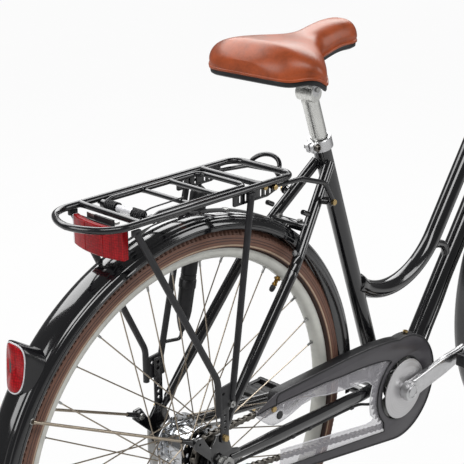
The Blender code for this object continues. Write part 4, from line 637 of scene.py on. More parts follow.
def gloss_black():
    # Polished ABS: black with a clean gloss, faint flow waves.
    return coated("gloss_abs_black", hex_rgba("#0A0A0C"), hex_rgba("#111114"), 40, (22, 0.04, 0.1),
        (0.12, 0.2), {"IOR": 1.53})


def case_face():
    # Moulded ABS: charcoal, satin, with a fine even texture.
    base = colours().case
    return coated("case_abs_charcoal", rgba(base, 0.85), rgba(base, 1.1), 45, (1.1, 0.02, 0.25),
        (0.28, 0.38), {"IOR": 1.53})


def case_sheet():
    # Clear polycarbonate sheet: grey with haze and rubbed streaks, glossy.
    made, tree, where = started("case_polycarbonate")
    stretch = add(tree, "Mapping", {"Vector": where, "Scale": (1, 1, 6),
        "Rotation": (0, math.radians(10), 0)})
    colour, cloud = mottled(tree, stretch.outputs[0], hex_rgba("#9C9AA0"), hex_rgba("#B2B0B5"), 90, 2, 0.3,
        0.75)
    bump = grained(tree, where, 80, 0.08, 0.15)
    gloss = add(tree, "MapRange", {"Value": cloud, "From Min": 0.3, "From Max": 0.7, "To Min": 0.06,
        "To Max": 0.25})
    shader = add(tree, "BsdfPrincipled", {"Base Color": colour, "Roughness": gloss.outputs[0],
        "Normal": bump, "IOR": 1.58, "Alpha": 0.38})
    return made, shader


def brushed(name, base, rough, fine, streak=(1, 1, 1)):
    """A metal with fine marks; the streak stretches them."""
    made, tree, where = started(name)
    line = add(tree, "Mapping", {"Vector": where, "Scale": streak})
    colour, _ = mottled(tree, line.outputs[0], rgba(base, 0.93), rgba(base, 1.03), fine * 9)
    marks = add(tree, "TexNoise", {"Vector": line.outputs[0], "Scale": per_mm(fine), "Detail": 3})
    bump = add(tree, "Bump", {"Height": marks.outputs["Fac"], "Distance": 0.01 * MM, "Strength": 0.06})
    gloss = add(tree, "MapRange", {"Value": marks.outputs["Fac"], "From Min": 0.3, "From Max": 0.7,
        "To Min": rough * 0.9, "To Max": rough * 1.12})
    shader = add(tree, "BsdfPrincipled", {"Base Color": colour, "Metallic": 1, "Normal": bump.outputs[0],
        "Roughness": gloss.outputs[0]})
    return made, shader


def post_alloy():
    # Anodised aluminium, drawn along the post: satin with lengthwise marks.
    return brushed("anodised_aluminium", colours().post, 0.28, 1.2, (1, 1, 0.06))


def crank_alloy():
    # Forged aluminium, tumbled and lacquered: a soft sheen with faint cloudiness.
    return brushed("forged_aluminium", colours().alloy, 0.3, 2)


def disc_alloy():
    # Turned aluminium: rings about the bracket from the lathe.
    made, tree, where = started("turned_aluminium")
    base = from_hex("#CFCECF")
    middle = (BB + Vector((-ORIGIN_X, 0, AXLE_Z))) * MM
    local = add(tree, "Mapping", {"Vector": where, "Location": -middle})
    rings = add(tree, "TexWave", {"Vector": local.outputs[0], "Scale": per_mm(14), "Distortion": 0.4},
        wave_type="RINGS", rings_direction="Y")
    colour = add(tree, "Mix", {"Factor": rings.outputs["Fac"], "A": rgba(base, 0.95),
        "B": rgba(base, 1.02)}, data_type="RGBA")
    bump = add(tree, "Bump", {"Height": rings.outputs["Fac"], "Distance": 0.01 * MM, "Strength": 0.12})
    gloss = add(tree, "MapRange", {"Value": rings.outputs["Fac"], "To Min": 0.3, "To Max": 0.42})
    shader = add(tree, "BsdfPrincipled", {"Base Color": colour.outputs["Result"], "Metallic": 0.85,
        "Normal": bump.outputs[0], "Roughness": gloss.outputs[0]})
    return made, shader


def hub_alloy():
    # Polished aluminium hub shell: nearly a mirror, with turning marks.
    return brushed("polished_aluminium", from_hex("#C9CBCE"), 0.14, 1.5, (1, 0.1, 1))


def rim_coat():
    # Painted and lacquered aluminium: pale grey, satin, with faint rubbed marks.
    base = colours().rim
    return coated("rim_pale_coat", rgba(base, 0.86), rgba(base), 26, (1.2, 0.015, 0.4), (0.34, 0.46),
        {"Metallic": 0.15, "Coat Weight": 0.2, "Coat Roughness": 0.2}, 6, 0.3, 0.6)


def spoke_wire():
    # Stainless steel wire; its warm grey tint is a painted reflection of the brown tyres.
    return brushed("stainless_wire", from_hex("#A89C8C"), 0.3, 1)


def zinc():
    # Bright zinc plate on steel: pale, slightly blue, unevenly dull.
    return brushed("zinc_plate", from_hex("#A8A8A6"), 0.34, 1.4)


def yellow_zinc():
    # Yellow passivated zinc plate, as on the carrier's bolts.
    return brushed("yellow_zinc_plate", from_hex("#BCA372"), 0.32, 1.4)


def dark_steel():
    # Oiled steel: chain and sprocket, brown-grey in the joints.
    return brushed("oiled_steel", from_hex("#6E6A64"), 0.36, 1)


def valve_brass():
    # Plain brass, a little tarnished.
    return brushed("tarnished_brass", from_hex("#8A6A36"), 0.34, 0.8)


def tyre_wall():
    # Coloured rubber: dull brown with a fine moulded grain and dusty patches.
    base = colours().rubber
    return coated("tyre_brown_rubber", rgba(base, 0.86), rgba(base, 1.06), 16, (1.3, 0.06, 0.35),
        (0.55, 0.72), {"IOR": 1.52}, 5)


def tyre_stripe():
    # The reflecting band bonded to the wall: pale and slightly pearly.
    base = colours().stripe
    return coated("tyre_stripe", rgba(base, 0.8), rgba(base), 8, (0.8, 0.03, 0.4), (0.36, 0.5), {})


def bead_rubber_and_groove_shade():
    # Dark brown rubber at the bead, also laid on two thin bands of the wall as painted shade in its
    # grooves.
    return rubber_of("bead_rubber_and_groove_shade", "#3A2620")


def grip_rubber():
    # Soft brown rubber of the grips.
    return rubber_of("grip_rubber", "#4A2A1C")


def black_rubber():
    # Black rubber of housings and treads.
    return rubber_of("black_rubber", "#161616")


def rubber_of(name, text):
    base = from_hex(text)
    return coated(name, rgba(base, 0.8), rgba(base, 1.2), 9, (1, 0.08, 0.5), (0.5, 0.68), {"IOR": 1.52})


def prism_red():
    # Moulded acrylic reflector: deep red, with corner prisms drawn 3.6 mm wide to show; each prism's light
    # middle and dark edge are painted glints.
    made, tree, where = started("reflector_acrylic")
    base = colours().lens
    cells = add(tree, "TexVoronoi", {"Vector": where, "Scale": per_mm(3.6), "Randomness": 0.3})
    share = add(tree, "MapRange", {"Value": cells.outputs["Distance"], "From Min": 0.1, "From Max": 0.75})
    # Painted glints: each prism's middle is drawn lighter and its edges darker.
    colour = add(tree, "Mix", {"Factor": share.outputs[0], "A": rgba(base, 1.15), "B": rgba(base, 0.45)},
        data_type="RGBA")
    bump = add(tree, "Bump", {"Height": cells.outputs["Distance"], "Distance": 0.5 * MM, "Strength": 0.4})
    shader = add(tree, "BsdfPrincipled", {"Base Color": colour.outputs["Result"], "Roughness": 0.3,
        "Normal": bump.outputs[0], "IOR": 1.3, "Coat Weight": 0.12, "Coat Roughness": 0.05})
    return made, shader


def clear_edge():
    # The lens's clear rim and the springs' sleeve: pale plastic, slightly milky.
    return coated("clear_acrylic", hex_rgba("#D8D8DC"), hex_rgba("#F2F2F4"), 10, (5, 0.05, 0.4),
        (0.08, 0.18), {"IOR": 1.49, "Alpha": 0.55})


# Saddle

def ease(t):
    t = min(max(t, 0), 1)
    return t * t * (3 - 2 * t)


def saddle_half(s):
    """Half the saddle's width at s, from 0 at its rear to 1 at its nose."""
    nose = SADDLE_NOSE_W / 2
    wing = SADDLE_WIDTH / 2
    body = nose + (wing - nose) * (1 - ease((s - 0.22) / 0.38))
    rear = (max(0, 1 - (1 - s / 0.24) ** 2)) ** 0.5 if s < 0.24 else 1
    front = (max(0, 1 - ((s - 0.84) / 0.16) ** 2)) ** 0.5 if s > 0.84 else 1
    return max(body * (0.30 + 0.70 * rear) * (0.22 + 0.78 * front), 1)


def saddle_edge(s):
    wing = 14 * math.exp(-((s - 0.285) / 0.08) ** 2)
    back = 3.5 * math.exp(-((s - 0.05) / 0.05) ** 2)
    return 560 - wing - back + 19 * ease((s - 0.42) / 0.4)


def saddle_top(s):
    lift = 606 - 3 * math.exp(-((s - 0.45) / 0.15) ** 2) + 10 * ease((s - 0.5) / 0.35)
    rear = 26 * (1 - min(s / 0.14, 1)) ** 2
    nose = 22 * max(0, (s - 0.88) / 0.12) ** 2
    return lift - rear - nose


def saddle_loop(count, inset=0, drop=0):
    """The saddle's lower edge as a closed line, left side forward and right side back."""
    left = []
    for i in range(count + 1):
        s = 0.5 - 0.5 * math.cos(math.pi * i / count)
        half = max(saddle_half(s) - inset, 0.6)
        left.append(point(SADDLE_REAR_X + inset + (SADDLE_LENGTH - 2 * inset) * s, half, saddle_edge(s)
            - drop))
    right = [point(p.x, -p.y, p.z) for p in reversed(left)]
    return left + right


def make_saddle():
    rings = []
    stations = 72
    for i in range(stations + 1):
        s = 0.5 - 0.5 * math.cos(math.pi * i / stations)
        half = saddle_half(s)
        low = saddle_edge(s)
        high = saddle_top(s)
        ring = []
        for k in range(45):
            a = math.pi * k / 44
            across = math.cos(a)
            y = half * squared(across, 0.66)
            drop = (half / (SADDLE_WIDTH / 2)) ** 2 * 9 * across * across
            rise = max(math.sin(a), 0) ** 0.66
            tuck = 2.2 * math.exp(-((rise - 0.16) / 0.08) ** 2)
            y -= tuck * (1 if across > 0 else -1) * min(half / 30, 1)
            ring.append(point(SADDLE_REAR_X + SADDLE_LENGTH * s, y, low + (high - low - drop) * rise))
        for share in (-0.5, 0.5):
            ring.append(point(ring[0].x, half * share, low))
        rings.append(ring)
    hide = paint(skin(rings), saddle_hide)
    seam = paint(tube(saddle_loop(72, 1.6, -2.2), 2.4, 10, True), saddle_hide)
    cover = finish([hide, seam], "saddle_skin", "saddle", ["saddle_cover"], 50)
    rims = []
    for inset, drop in ((2, -1), (1.4, 0.6), (1.8, 6.6), (4.5, 8.6), (9, 9), (9, 3)):
        rims.append(saddle_loop(60, inset, drop))
    band = skin(list(zip(*rims)), True)
    under = []
    for i in range(1, 40):
        s = 0.5 - 0.5 * math.cos(math.pi * i / 40)
        half = max(saddle_half(s) - 6, 0.6)
        x = SADDLE_REAR_X + SADDLE_LENGTH * s
        z = saddle_edge(s)
        under.append([point(x, -half, z - 3.4), point(x, -half * 0.5, z - 2.2), point(x, 0, z - 1.8),
            point(x, half * 0.5, z - 2.2), point(x, half, z - 3.4), point(x, half, z - 0.6),
            point(x, -half, z - 0.6)])
    shell = [paint(band, moulded_black), paint(skin(under), moulded_black)]
    finish(shell, "saddle_shell", "saddle", ["saddle_base"])


def make_saddle_clamp():
    parts = []
    rail_z = TILT.z + 19
    for side in (-1, 1):
        rear = point(TILT.x - 76, side * 30, 553)
        front = point(TILT.x + 16, side * 13, 563)
        bend = point(TILT.x - 50, side * 23, rail_z)
        straight = point(TILT.x - 2, side * 21, rail_z + 2)
        parts.append(paint(tube(rounded([rear, bend, straight, front], 14, 8), 3.4, 12), zinc))
        cheek = turned([(0, 9.6), (0.8, 10.4), (3.6, 10.4), (4.6, 9.4)], TILT + LEFT * side * 12.5 + UP * 5,
            LEFT * side, 40)
        parts.append(paint(cheek, crank_alloy))
        parts.append(paint(bolt(TILT + LEFT * side * 17 + UP * 6, LEFT * side, 4.6, 2.6), zinc))
        ear = block(TILT + point(-17, min(side * 12, side * 27), 15), TILT
            + point(8, max(side * 12, side * 27), 24), 2)
        parts.append(paint(ear, crank_alloy))
    parts.append(paint(block(TILT + point(-16, -26, 17), TILT + point(8, 26, 20), 1), crank_alloy))
    finish(parts, "saddle_rail_clamp", "saddle", ["saddle_clamp"])


def make_seat_post():
    r = sizes().post_r
    low = SEAT_TUBE_TOP - 150
    parts = [rod(on_seat(low), on_seat(586), r, 40)]
    neck = tube([on_seat(583), on_seat(588), on_seat(593), on_seat(600)], r, 40, radii=[1, 1.05, 1, 0.8])
    head = turned([(-16.5, 12.5), (-15, 14), (15, 14), (16.5, 12.5)], TILT, LEFT, 40)
    parts += [neck, head]
    for part in parts:
        paint(part, post_alloy)
    finish(parts, "seat_post_tube", "seatpost", ["seat_post"])
    base = on_seat(500)
    ring = turned([(1, 18.6), (1.8, 19.4), (19.6, 19.4), (20.6, 18.6)], base, SEAT_DIR, 56, 15)
    parts = [paint(ring, crank_alloy)]
    back = LEFT.cross(SEAT_DIR).normalized()
    back = back if back.x < 0 else -back
    middle = base + SEAT_DIR * 13
    for side in (-1, 1):
        rings = []
        for depth, reach in ((0, 8.4), (14, 7)):
            at = middle + back * (13 + depth)
            rings.append([at + LEFT * side * y + SEAT_DIR * z
                for y, z in ((1.2, -reach), (8.6, -reach), (8.6, reach), (1.2, reach))])
        parts.append(paint(soften_edges(skin(rings), 0.9), crank_alloy))
    across = middle + back * 20
    head = turned([(0, 5.2), (1, 5.6), (4.6, 5.6), (5.4, 4.8), (5.4, 3), (2.2, 3)], across - LEFT * 8.4,
        -LEFT, 28)
    parts.append(paint(head, dark_steel))
    parts.append(paint(bolt(across + LEFT * 8.6, LEFT, 5.4, 4.6), zinc))
    finish(parts, "seat_collar_clamp", "frame", ["seat_collar"])


# Frame

def flared(path, radius, sides, start, end, fillet=2.2):
    """A tube whose ends swell a little, as a brazed joint does."""
    dense = [path[0]]
    for a, b in zip(path, path[1:]):
        steps = max(1, int((b - a).length / 9))
        dense += [a + (b - a) * (k / steps) for k in range(1, steps + 1)]
    total = sum((b - a).length for a, b in zip(dense, dense[1:]))
    radii = []
    run = 0
    for i, p in enumerate(dense):
        if i:
            run += (p - dense[i - 1]).length
        near_start = math.exp(-(max(run - start, 0) / 4) ** 2)
        near_end = math.exp(-(max(total - run - end, 0) / 4) ** 2)
        radii.append(1 + (fillet * near_start + fillet * near_end) / radius)
    return tube(dense, radius, sides, radii=radii)


def swan_line():
    centre = point(505, 0, 277)
    start = -math.degrees(math.asin((505 - 406) / 160))
    path = []
    for i in range(33):
        a = start + (TWIN_ANGLE - start) * i / 32
        path.append(centre + polar(a - 90, 160))
    path.append(meet(path[-1], TWIN_DIR, STEER_BASE, STEER_DIR))
    return path


def down_line():
    on_line = point(650, 0, 66)
    corner = meet(BB, polar(10), on_line, TWIN_DIR)
    end = meet(on_line, TWIN_DIR, STEER_BASE, STEER_DIR)
    return rounded([BB, corner, end], 90, 16)


def make_main_tubes():
    sides = sizes().tube_sides * 2
    seat = tube([on_seat(8), on_seat(40), on_seat(SEAT_TUBE_TOP)], sizes().seat_tube_r, sides)
    shell = turned([(-34, 20.2), (-33, 21), (33, 21), (34, 20.2)], BB, LEFT, 64, 17)
    lug = tube([on_seat(15), on_seat(24), on_seat(31), on_seat(37)], sizes().seat_tube_r, sides,
        radii=[1.3, 1.17, 1.08, 1])
    top = tube([on_seat(498), on_seat(500), on_seat(515), on_seat(SEAT_TUBE_TOP)], 14.6, sides,
        radii=[1, 1.03, 1.03, 0.98])
    finish([paint(p, frame_enamel) for p in (seat, shell, lug, top)], "seat_tube_steel", "frame",
        ["seat_tube"])
    cups = []
    for side in (-1, 1):
        cups.append(turned([(34.2, 19.5), (37.5, 19.5), (38.8, 17)], BB, LEFT * side, 48, 9.2))
    finish([paint(p, dark_steel) for p in cups], "bracket_cups", "frame", ["bottom_bracket_bearing"])
    swan = flared(swan_line(), sizes().swan_r, sides, 12, 18)
    finish([paint(swan, frame_enamel)], "curved_tube_steel", "frame", ["top_tube"])
    down = flared(down_line(), sizes().down_r, sides, 20, 18)
    brace = flared(rounded([point(630, 0, 166), point(672, 0, 152), point(690, 0, 108)], 26, 10), 8, 24, 12,
        14)
    finish([paint(down, frame_enamel), paint(brace, frame_enamel)], "down_tube_steel", "frame",
        ["down_tube"])
    low = on_steer(HEAD_LOW)
    n = HEAD_LENGTH
    head = turned([(0, 21), (1.2, 22), (10, 22), (13, 18.8), (15, 18), (n - 15, 18), (n - 13, 18.8),
        (n - 10, 22), (n - 1.2, 22), (n, 21)], low, STEER_DIR, 56, 14)
    finish([paint(head, frame_enamel)], "head_tube_steel", "frame", ["head_tube"])


def dropout_plate(side):
    outline = [(-54, 42), (-52, 56), (-39, 57), (-22, 30), (-9, 48), (11, 48), (22, 14), (40, 8), (40, -10),
        (20, -16), (-10, -17), (-19, -8), (-20, 8)]
    hole = arc(-45, 48, 2.8, 0, 342, 19)
    y = 65 * side
    return plate(soft_outline(outline, 2.5), y, y + 5 * side, 0.6, [hole])


def make_rear_triangle():
    sides = sizes().tube_sides + 8
    parts = []
    for side in (-1, 1):
        line = [point(18, side * 67.5, 0), point(60, side * 64.5, -5), point(140, side * 59, -14),
            point(250, side * 49, -27), point(330, side * 40.5, -37), point(372, side * 37.5, -42.5),
            point(405, side * 32.5, -47), point(462, side * 24, -54)]
        path = soft_path(line, 12)
        rings = []
        for i, p in enumerate(path):
            way = (path[min(i + 1, len(path) - 1)] - path[max(i - 1, 0)]).normalized()
            across = (LEFT - way * LEFT.dot(way)).normalized()
            rise = way.cross(across)
            near = min(max((p.x - 18) / 110, 0), 1)
            dent = 1 - 0.1 * math.exp(-((p.x - 345) / 40) ** 2)
            w = 8 * (0.66 + 0.34 * near) * dent
            h = 12 * (0.62 + 0.38 * near)
            rings.append([p + across * w * math.cos(math.tau * k / 28) + rise * h
                * math.sin(math.tau * k / 28) for k in range(28)])
        parts.append(skin(rings))
        parts.append(dropout_plate(side))
    parts.append(flared([point(398, -34, -46), point(398, 34, -46)], 8, 24, 3, 3))
    finish([paint(p, frame_enamel) for p in parts], "chain_stays_steel", "frame", ["chain_stays"])
    parts = []
    for side in (-1, 1):
        corners = [point(13, side * 62.5, 57), point(181, side * 52, 255), point(309, side * 13, 389)]
        path = soft_path(rounded(corners, 120, 6), 14)
        radii = [0.68 + 0.32 * min(i / 7, 1) for i in range(len(path))]
        parts.append(paint(tube(path, 9, sides, radii=radii), frame_enamel))
        tip = soft_path([point(8, side * 66.8, 40), point(13, side * 64.5, 50), point(24, side * 62, 69)],
            4)
        parts.append(paint(tube(tip, 7, sides, radii=[0.45, 0.6, 0.75, 0.85, 0.95, 1, 1][:len(tip)] + [1]
            * max(0, len(tip) - 7)), frame_enamel))
        parts.append(paint(rod(point(266, side * 27, 341), point(272, side * 44.5, 341), 6.2, 24),
            frame_enamel))
        boss = point(196, side * 47.5, 272)
        parts.append(paint(rod(boss, boss + point(-14, side * 4, 8), 5, 20), frame_enamel))
        guide = point(236, side * 37, 318)
        parts.append(paint(rod(guide + point(-6, 0, 10), guide + point(-20, 0, 17), 4.2, 20), frame_enamel))
    bridge = flared([point(230, -39, 305), point(230, 39, 305)], 8, 28, 3, 3)
    parts.append(paint(bridge, frame_enamel))
    parts.append(paint(tube([point(230, 0, 305), point(222, 0, 298)], 6, 20), frame_enamel))
    for side in (-1, 1):
        at = point(229, side * 21, 311)
        parts.append(paint(bolt(at, UP, 5, 4.5, 6), zinc))
    finish(parts, "seat_stays_steel", "frame", ["seat_stays"])


# Wheels

def tyre_profile():
    w = wheel_sizes()
    half = w.tyre_w / 2
    middle = w.tyre_r - half
    outer = [(-9.2, 311.4), (-9.2, w.rim_r + 0.6), (-10.6, w.rim_r + 1.2)]
    for k in range(65):
        a = math.radians(206 - 232 * k / 64)
        y = math.cos(a) * half
        r = middle + math.sin(a) * half
        if 322 < r < 339 and k % 3 == 0:
            y -= 0.55 * (1 if y > 0 else -1)
        outer.append((y, r - (0.7 if abs(y) < 11 and k % 4 > 1 else 0)))
    outer += [(10.6, w.rim_r + 1.2), (9.2, w.rim_r + 0.6), (9.2, 311.4)]
    inner = [(7, 311.4), (7, w.rim_r + 4)]
    for k in range(13):
        a = math.radians(-10 + 200 * k / 12)
        inner.append((math.cos(a) * (half - 3), middle + math.sin(a) * (half - 3)))
    inner += [(-7, w.rim_r + 4), (-7, 311.4)]
    return outer + inner


def make_tyre(hub, name, body, node):
    w = wheel_sizes()
    ob = lathed(tyre_profile(), hub, LEFT, w.notches * 3)
    mesh = ob.data
    for v in mesh.vertices:
        out = v.co - hub
        r = math.hypot(out.x, out.z)
        if 11 < abs(v.co.y) < 18.6 and r > w.tyre_r - 12:
            turn = math.degrees(math.atan2(out.z, out.x)) + (1.4 if v.co.y > 0 else 0)
            place = (turn / 360 * w.notches) % 1
            if place < 0.33:
                cut = 4.2 if abs(v.co.y) > 13.5 else 2.6
                share = (r - cut) / r
                v.co.x = hub.x + out.x * share
                v.co.z = hub.z + out.z * share
    for one in (tyre_wall, tyre_stripe, bead_rubber_and_groove_shade):
        mesh.materials.append(finish_of(one))
    for face in mesh.polygons:
        out = face.center - hub
        r = math.hypot(out.x, out.z)
        outside = abs(face.center.y) > 10
        # The bead takes the dark rubber; so do two thin bands of the wall, as painted shade in its grooves.
        if outside and (r < w.rim_r + 2.4 or 328.6 < r < 330 or 333 < r < 334.4):
            face.material_index = 2
        elif outside and w.rim_r + 4.6 < r < w.rim_r + 6.8:
            face.material_index = 1
    return finish([ob], name, body, [node], 40)


def make_rim(hub, name, body, node):
    w = wheel_sizes()
    h = w.rim_w / 2
    r0 = w.rim_inner_r
    r1 = w.rim_r
    half = [(h - 2.2, r1 - 9.5), (h - 2.2, r1 - 1.2), (h - 1.1, r1), (h - 0.2, r1 - 0.5), (h, r1 - 1.6),
        (h - 0.4, r1 - 2.4), (h - 0.4, r1 - 3), (h, r1 - 3.6), (h, r0 + 9), (h - 0.35, r0 + 8.2),
        (h - 0.9, r0 + 6), (h - 3.6, r0 + 2.4), (h - 6.5, r0 + 0.8), (2, r0)]
    profile = half + [(-y, r) for y, r in reversed(half)]
    ob = paint(lathed(profile, hub, LEFT, 216), rim_coat)
    eyes = []
    for i in range(w.spokes):
        a = math.tau * (i + 0.5) / w.spokes
        out = Vector((math.cos(a), 0, math.sin(a)))
        at = hub + out * r0 + LEFT * (2 if i % 2 else -2)
        eyes.append(Matrix.Translation(at) @ out.to_track_quat("Z", "Y").to_matrix().to_4x4())
    eye = turned([(-0.9, 2.9), (-0.2, 3.6), (0.6, 3.6)], point(0, 0, 0), UP, 12, 2.3)
    ring = paint(copies(eye, eyes), zinc)
    return finish([ob, ring], name, body, [node], 30)


def spoke_places(hub, flange_r, flange_y, step):
    """Each spoke's start at the flange and end at the rim."""
    w = wheel_sizes()
    for i in range(w.spokes):
        side = 1 if i % 2 else -1
        pair = (i // 2) % 2
        lean = 1 if pair else -1
        at_rim = math.tau * (i + 0.5) / w.spokes
        at_hub = at_rim + lean * math.radians(62)
        y = side * (flange_y + (step if pair else -step))
        start = hub + Vector((math.cos(at_hub) * (flange_r - 4), y, math.sin(at_hub) * (flange_r - 4)))
        end_r = w.rim_inner_r
        end = hub + Vector((math.cos(at_rim) * end_r, side * 2, math.sin(at_rim) * end_r))
        yield start, end, side * (1 if pair else -1)


def laced_spokes(hub, flange_r, flange_y):
    wires = []
    nipples = []
    for start, end, out in spoke_places(hub, flange_r, flange_y, 2.6):
        way = (end - start).normalized()
        elbow = [start - LEFT * out * 5.4, start - LEFT * out * 1.6, start + way * 1.6]
        path = rounded([elbow[0], start, end], [0, 1.6, 0], 4)
        wires.append(paint(tube(path, 1.05, 8), spoke_wire))
        wires.append(paint(rod(start + LEFT * out * -4.6, start + LEFT * out * -6.2, 2.1, 8), spoke_wire))
        nipples.append(paint(tube([end - way * 10, end - way * 9.2, end - way * 2, end + way * 2], 2, 8,
            radii=[0.7, 0.9, 1, 1]), zinc))
    return wires + nipples


def flange(centre, radius, hole_r, holes, thick=3.2):
    """A drilled spoke flange."""
    gaps = [arc(0, 0, radius * 0.45, 0, 352, 43)]
    for i in range(holes):
        a = 360 * (i + 0.5) / holes
        cx = math.cos(math.radians(a)) * radius * 0.73
        cz = math.sin(math.radians(a)) * radius * 0.73
        gaps.append(arc(cx, cz, hole_r, 0, 336, 14))
    ob = plate(arc(0, 0, radius, 0, 354, 59), -thick / 2, thick / 2, 0.6, gaps)
    ob.location = centre
    pick(ob)
    bpy.ops.object.transform_apply(location=True, rotation=True, scale=True)
    return ob


def make_rear_wheel():
    body = "rear_wheel"
    make_tyre(REAR_AXLE, "rear_tyre_rubber", body, "rear_tyre")
    make_rim(REAR_AXLE, "rear_rim_alloy", body, "rear_rim")
    barrel = turned([(-35.8, 22), (-34, 24.5), (-30, 26), (-25, 27.5), (-21, 30), (-19, 31), (-12, 31),
        (-11, 30.2), (-9, 30.2), (-8, 31), (9, 31), (10, 30.2), (12, 30.2), (13, 31), (20, 31), (23, 28.5),
        (27, 27), (33, 26), (35.8, 22)], REAR_AXLE, LEFT, 72, 6.5)
    parts = [paint(barrel, hub_alloy)]
    for y in (-27, 27):
        parts.append(paint(flange(REAR_AXLE + LEFT * y, 45, 3.4, 12), hub_alloy))
        parts.append(paint(turned([(-2.4, 30), (-1.6, 31.6), (1.6, 31.6), (2.4, 30)], REAR_AXLE + LEFT * y,
            LEFT, 56, 20), hub_alloy))
    parts += laced_spokes(REAR_AXLE, 45, 27)
    finish(parts, "rear_hub_laced", body, ["rear_hub"])
    way = polar(47.5)
    r = wheel_sizes().rim_inner_r
    stem = turned([(r + 2, 3.4), (r - 2, 3.4), (r - 2, 5.6), (r - 5, 5.6), (r - 5.4, 3.6), (r - 6.4, 3.1),
        (r - 7.2, 3.5), (r - 8.2, 3.1), (r - 9.2, 3.5), (r - 10.2, 3.1), (r - 11, 3.5), (r - 12, 3.3),
        (r - 12.4, 4.4), (r - 15.2, 4.4), (r - 15.6, 3), (r - 17, 3)], REAR_AXLE, way, 20)
    cap = turned([(r - 16.6, 4.3), (r - 17.4, 4.6), (r - 23, 4.4), (r - 25.8, 3.4), (r - 26.8, 2)],
        REAR_AXLE, way, 14)
    finish([paint(stem, valve_brass), paint(cap, moulded_black)], "rear_valve_stem", body, ["rear_valve"])


def make_front_wheel():
    body = "front_wheel"
    make_tyre(FRONT_AXLE, "front_tyre_rubber", body, "front_tyre")
    make_rim(FRONT_AXLE, "front_rim_alloy", body, "front_rim")
    barrel = turned([(-46, 11), (-44, 12.5), (-37, 13.5), (-35, 23), (-34, 24), (-32, 24), (-31, 23),
        (-29, 16), (-20, 13.5), (20, 13.5), (29, 16), (31, 23), (32, 24), (34, 24), (35, 23), (37, 13.5),
        (44, 12.5), (46, 11)], FRONT_AXLE, LEFT, 64, 6.5)
    parts = [paint(barrel, hub_alloy)] + laced_spokes(FRONT_AXLE, 24, 33)
    finish(parts, "front_hub_laced", body, ["front_hub"])
    rods = [paint(rod(FRONT_AXLE - LEFT * 66, FRONT_AXLE + LEFT * 66, 5, 24), zinc)]
    for side in (-1, 1):
        rods.append(paint(bolt(FRONT_AXLE + LEFT * side * 55.4, LEFT * side, 9, 7), zinc))
        rods.append(paint(turned([(54.8, 9.8), (55.6, 9.8)], FRONT_AXLE, LEFT * side, 32, 5.2), zinc))
    finish(rods, "front_axle_rod", "steering", ["front_axle"])


# Mudguards and lamp

def guard_blade(hub, start, stop):
    w = wheel_sizes()
    r = w.guard_r
    low = w.guard_lip_r
    h = w.guard_half_w
    half = [(0, r), (6, r - 0.15), (12, r - 0.8), (16.5, r - 2), (18.6, r - 3.2), (19.3, r - 4.6),
        (20.4, r - 5), (22.6, r - 5.9), (24.2, r - 7.4), (24.7, r - 8.8), (25.8, r - 9.4), (27.4, r - 11.4),
        (h - 0.5, r - 14.4), (h, r - 17), (h - 0.7, r - 17.9), (h - 0.7, r - 18.6), (h, r - 19.4),
        (h, low + 1.2), (h - 0.6, low + 0.2), (h - 1.6, low), (h - 2.2, low + 0.9)]
    inner = [(max(y - 1.3, 0), q - 1.3) for y, q in half[:-3]]
    section = [(-y, q) for y, q in reversed(half)] + half[1:]
    back = [(y, q) for y, q in reversed(inner)] + [(-y, q) for y, q in inner[1:]]
    ring = section + back
    steps = int(abs(stop - start) / 1.6)
    rings = []
    for i in range(steps + 1):
        a = start + (stop - start) * i / steps
        out = polar(a)
        rings.append([hub + out * q + LEFT * y for y, q in ring])
    return skin(rings)


def make_rear_mudguard():
    parts = [paint(guard_blade(REAR_AXLE, -5, 205), frame_enamel)]
    for angle in (192, 77):
        out = polar(angle)
        at = REAR_AXLE + out * (wheel_sizes().guard_r - 0.4)
        parts.append(paint(turned([(0, 6), (0.6, 6.4), (1.6, 5.8), (2.6, 3.6), (2.9, 0)], at, out, 24),
            zinc))
    for side in (-1, 1):
        at = point(-306, side * 28.6, 175)
        parts.append(paint(bolt(at, LEFT * side, 4.4, 1.6, 20), zinc))
    finish(parts, "rear_mudguard_blade", "frame", ["rear_mudguard"], 24)
    for side, name, node in ((-1, "guard_rod_right", "rear_guard_rod_right"),
            (1, "guard_rod_left", "rear_guard_rod_left")):
        low = point(-45, side * 62, 48)
        tip = point(-306, side * 31.6, 175)
        way = (tip - low).normalized()
        parts = [paint(tube([low + way * 14, tip - way * 2], 2.2, 16), spoke_wire)]
        parts.append(paint(tube([tip - way * 3, tip + way * 1], 3.2, 14), spoke_wire))
        clip = rounded([low - way * 4, low + way * 10, low + way * 30], 30, 4)
        parts.append(paint(tube(clip, 6.2, 20, radii=[1 - 0.42 * k / (len(clip) - 1)
            for k in range(len(clip))]), gloss_black))
        parts.append(paint(rod(low - LEFT * side * 3.4, low + LEFT * side * 2.8, 8, 24), gloss_black))
        head = turned([(3.2, 4.8), (4, 5.2), (7, 5.2), (7.8, 4.4), (7.8, 2.6), (5.6, 2.6)], low, -LEFT
            * side, 20)
        parts.append(paint(head, zinc))
        finish(parts, name, "frame", [node])


def lamp_ring(share, depth=0, grow=1, count=56):
    """A ring between the lens's upright edge, at share 0, and the guard's crown, at share 1."""
    up = Vector((0.122, 0, 0.9925))
    out = Vector((-0.9925, 0, 0.122))
    middle = point(-310.5, 0, 243)
    ring = []
    for k in range(count):
        a = math.tau * k / count
        c = squared(math.cos(a), 0.6)
        s = squared(math.sin(a), 0.7)
        wide = 22 * (0.9 + 0.1 * s) * grow
        edge = middle + LEFT * (c * wide) + up * (35 * s * grow) - out * (5 * c * c + depth)
        foot = REAR_AXLE + polar(141.2 - 5 * s, 372.6 - 8 * c * c) + LEFT * (23.5 * c)
        ring.append(edge.lerp(foot, share))
    return ring


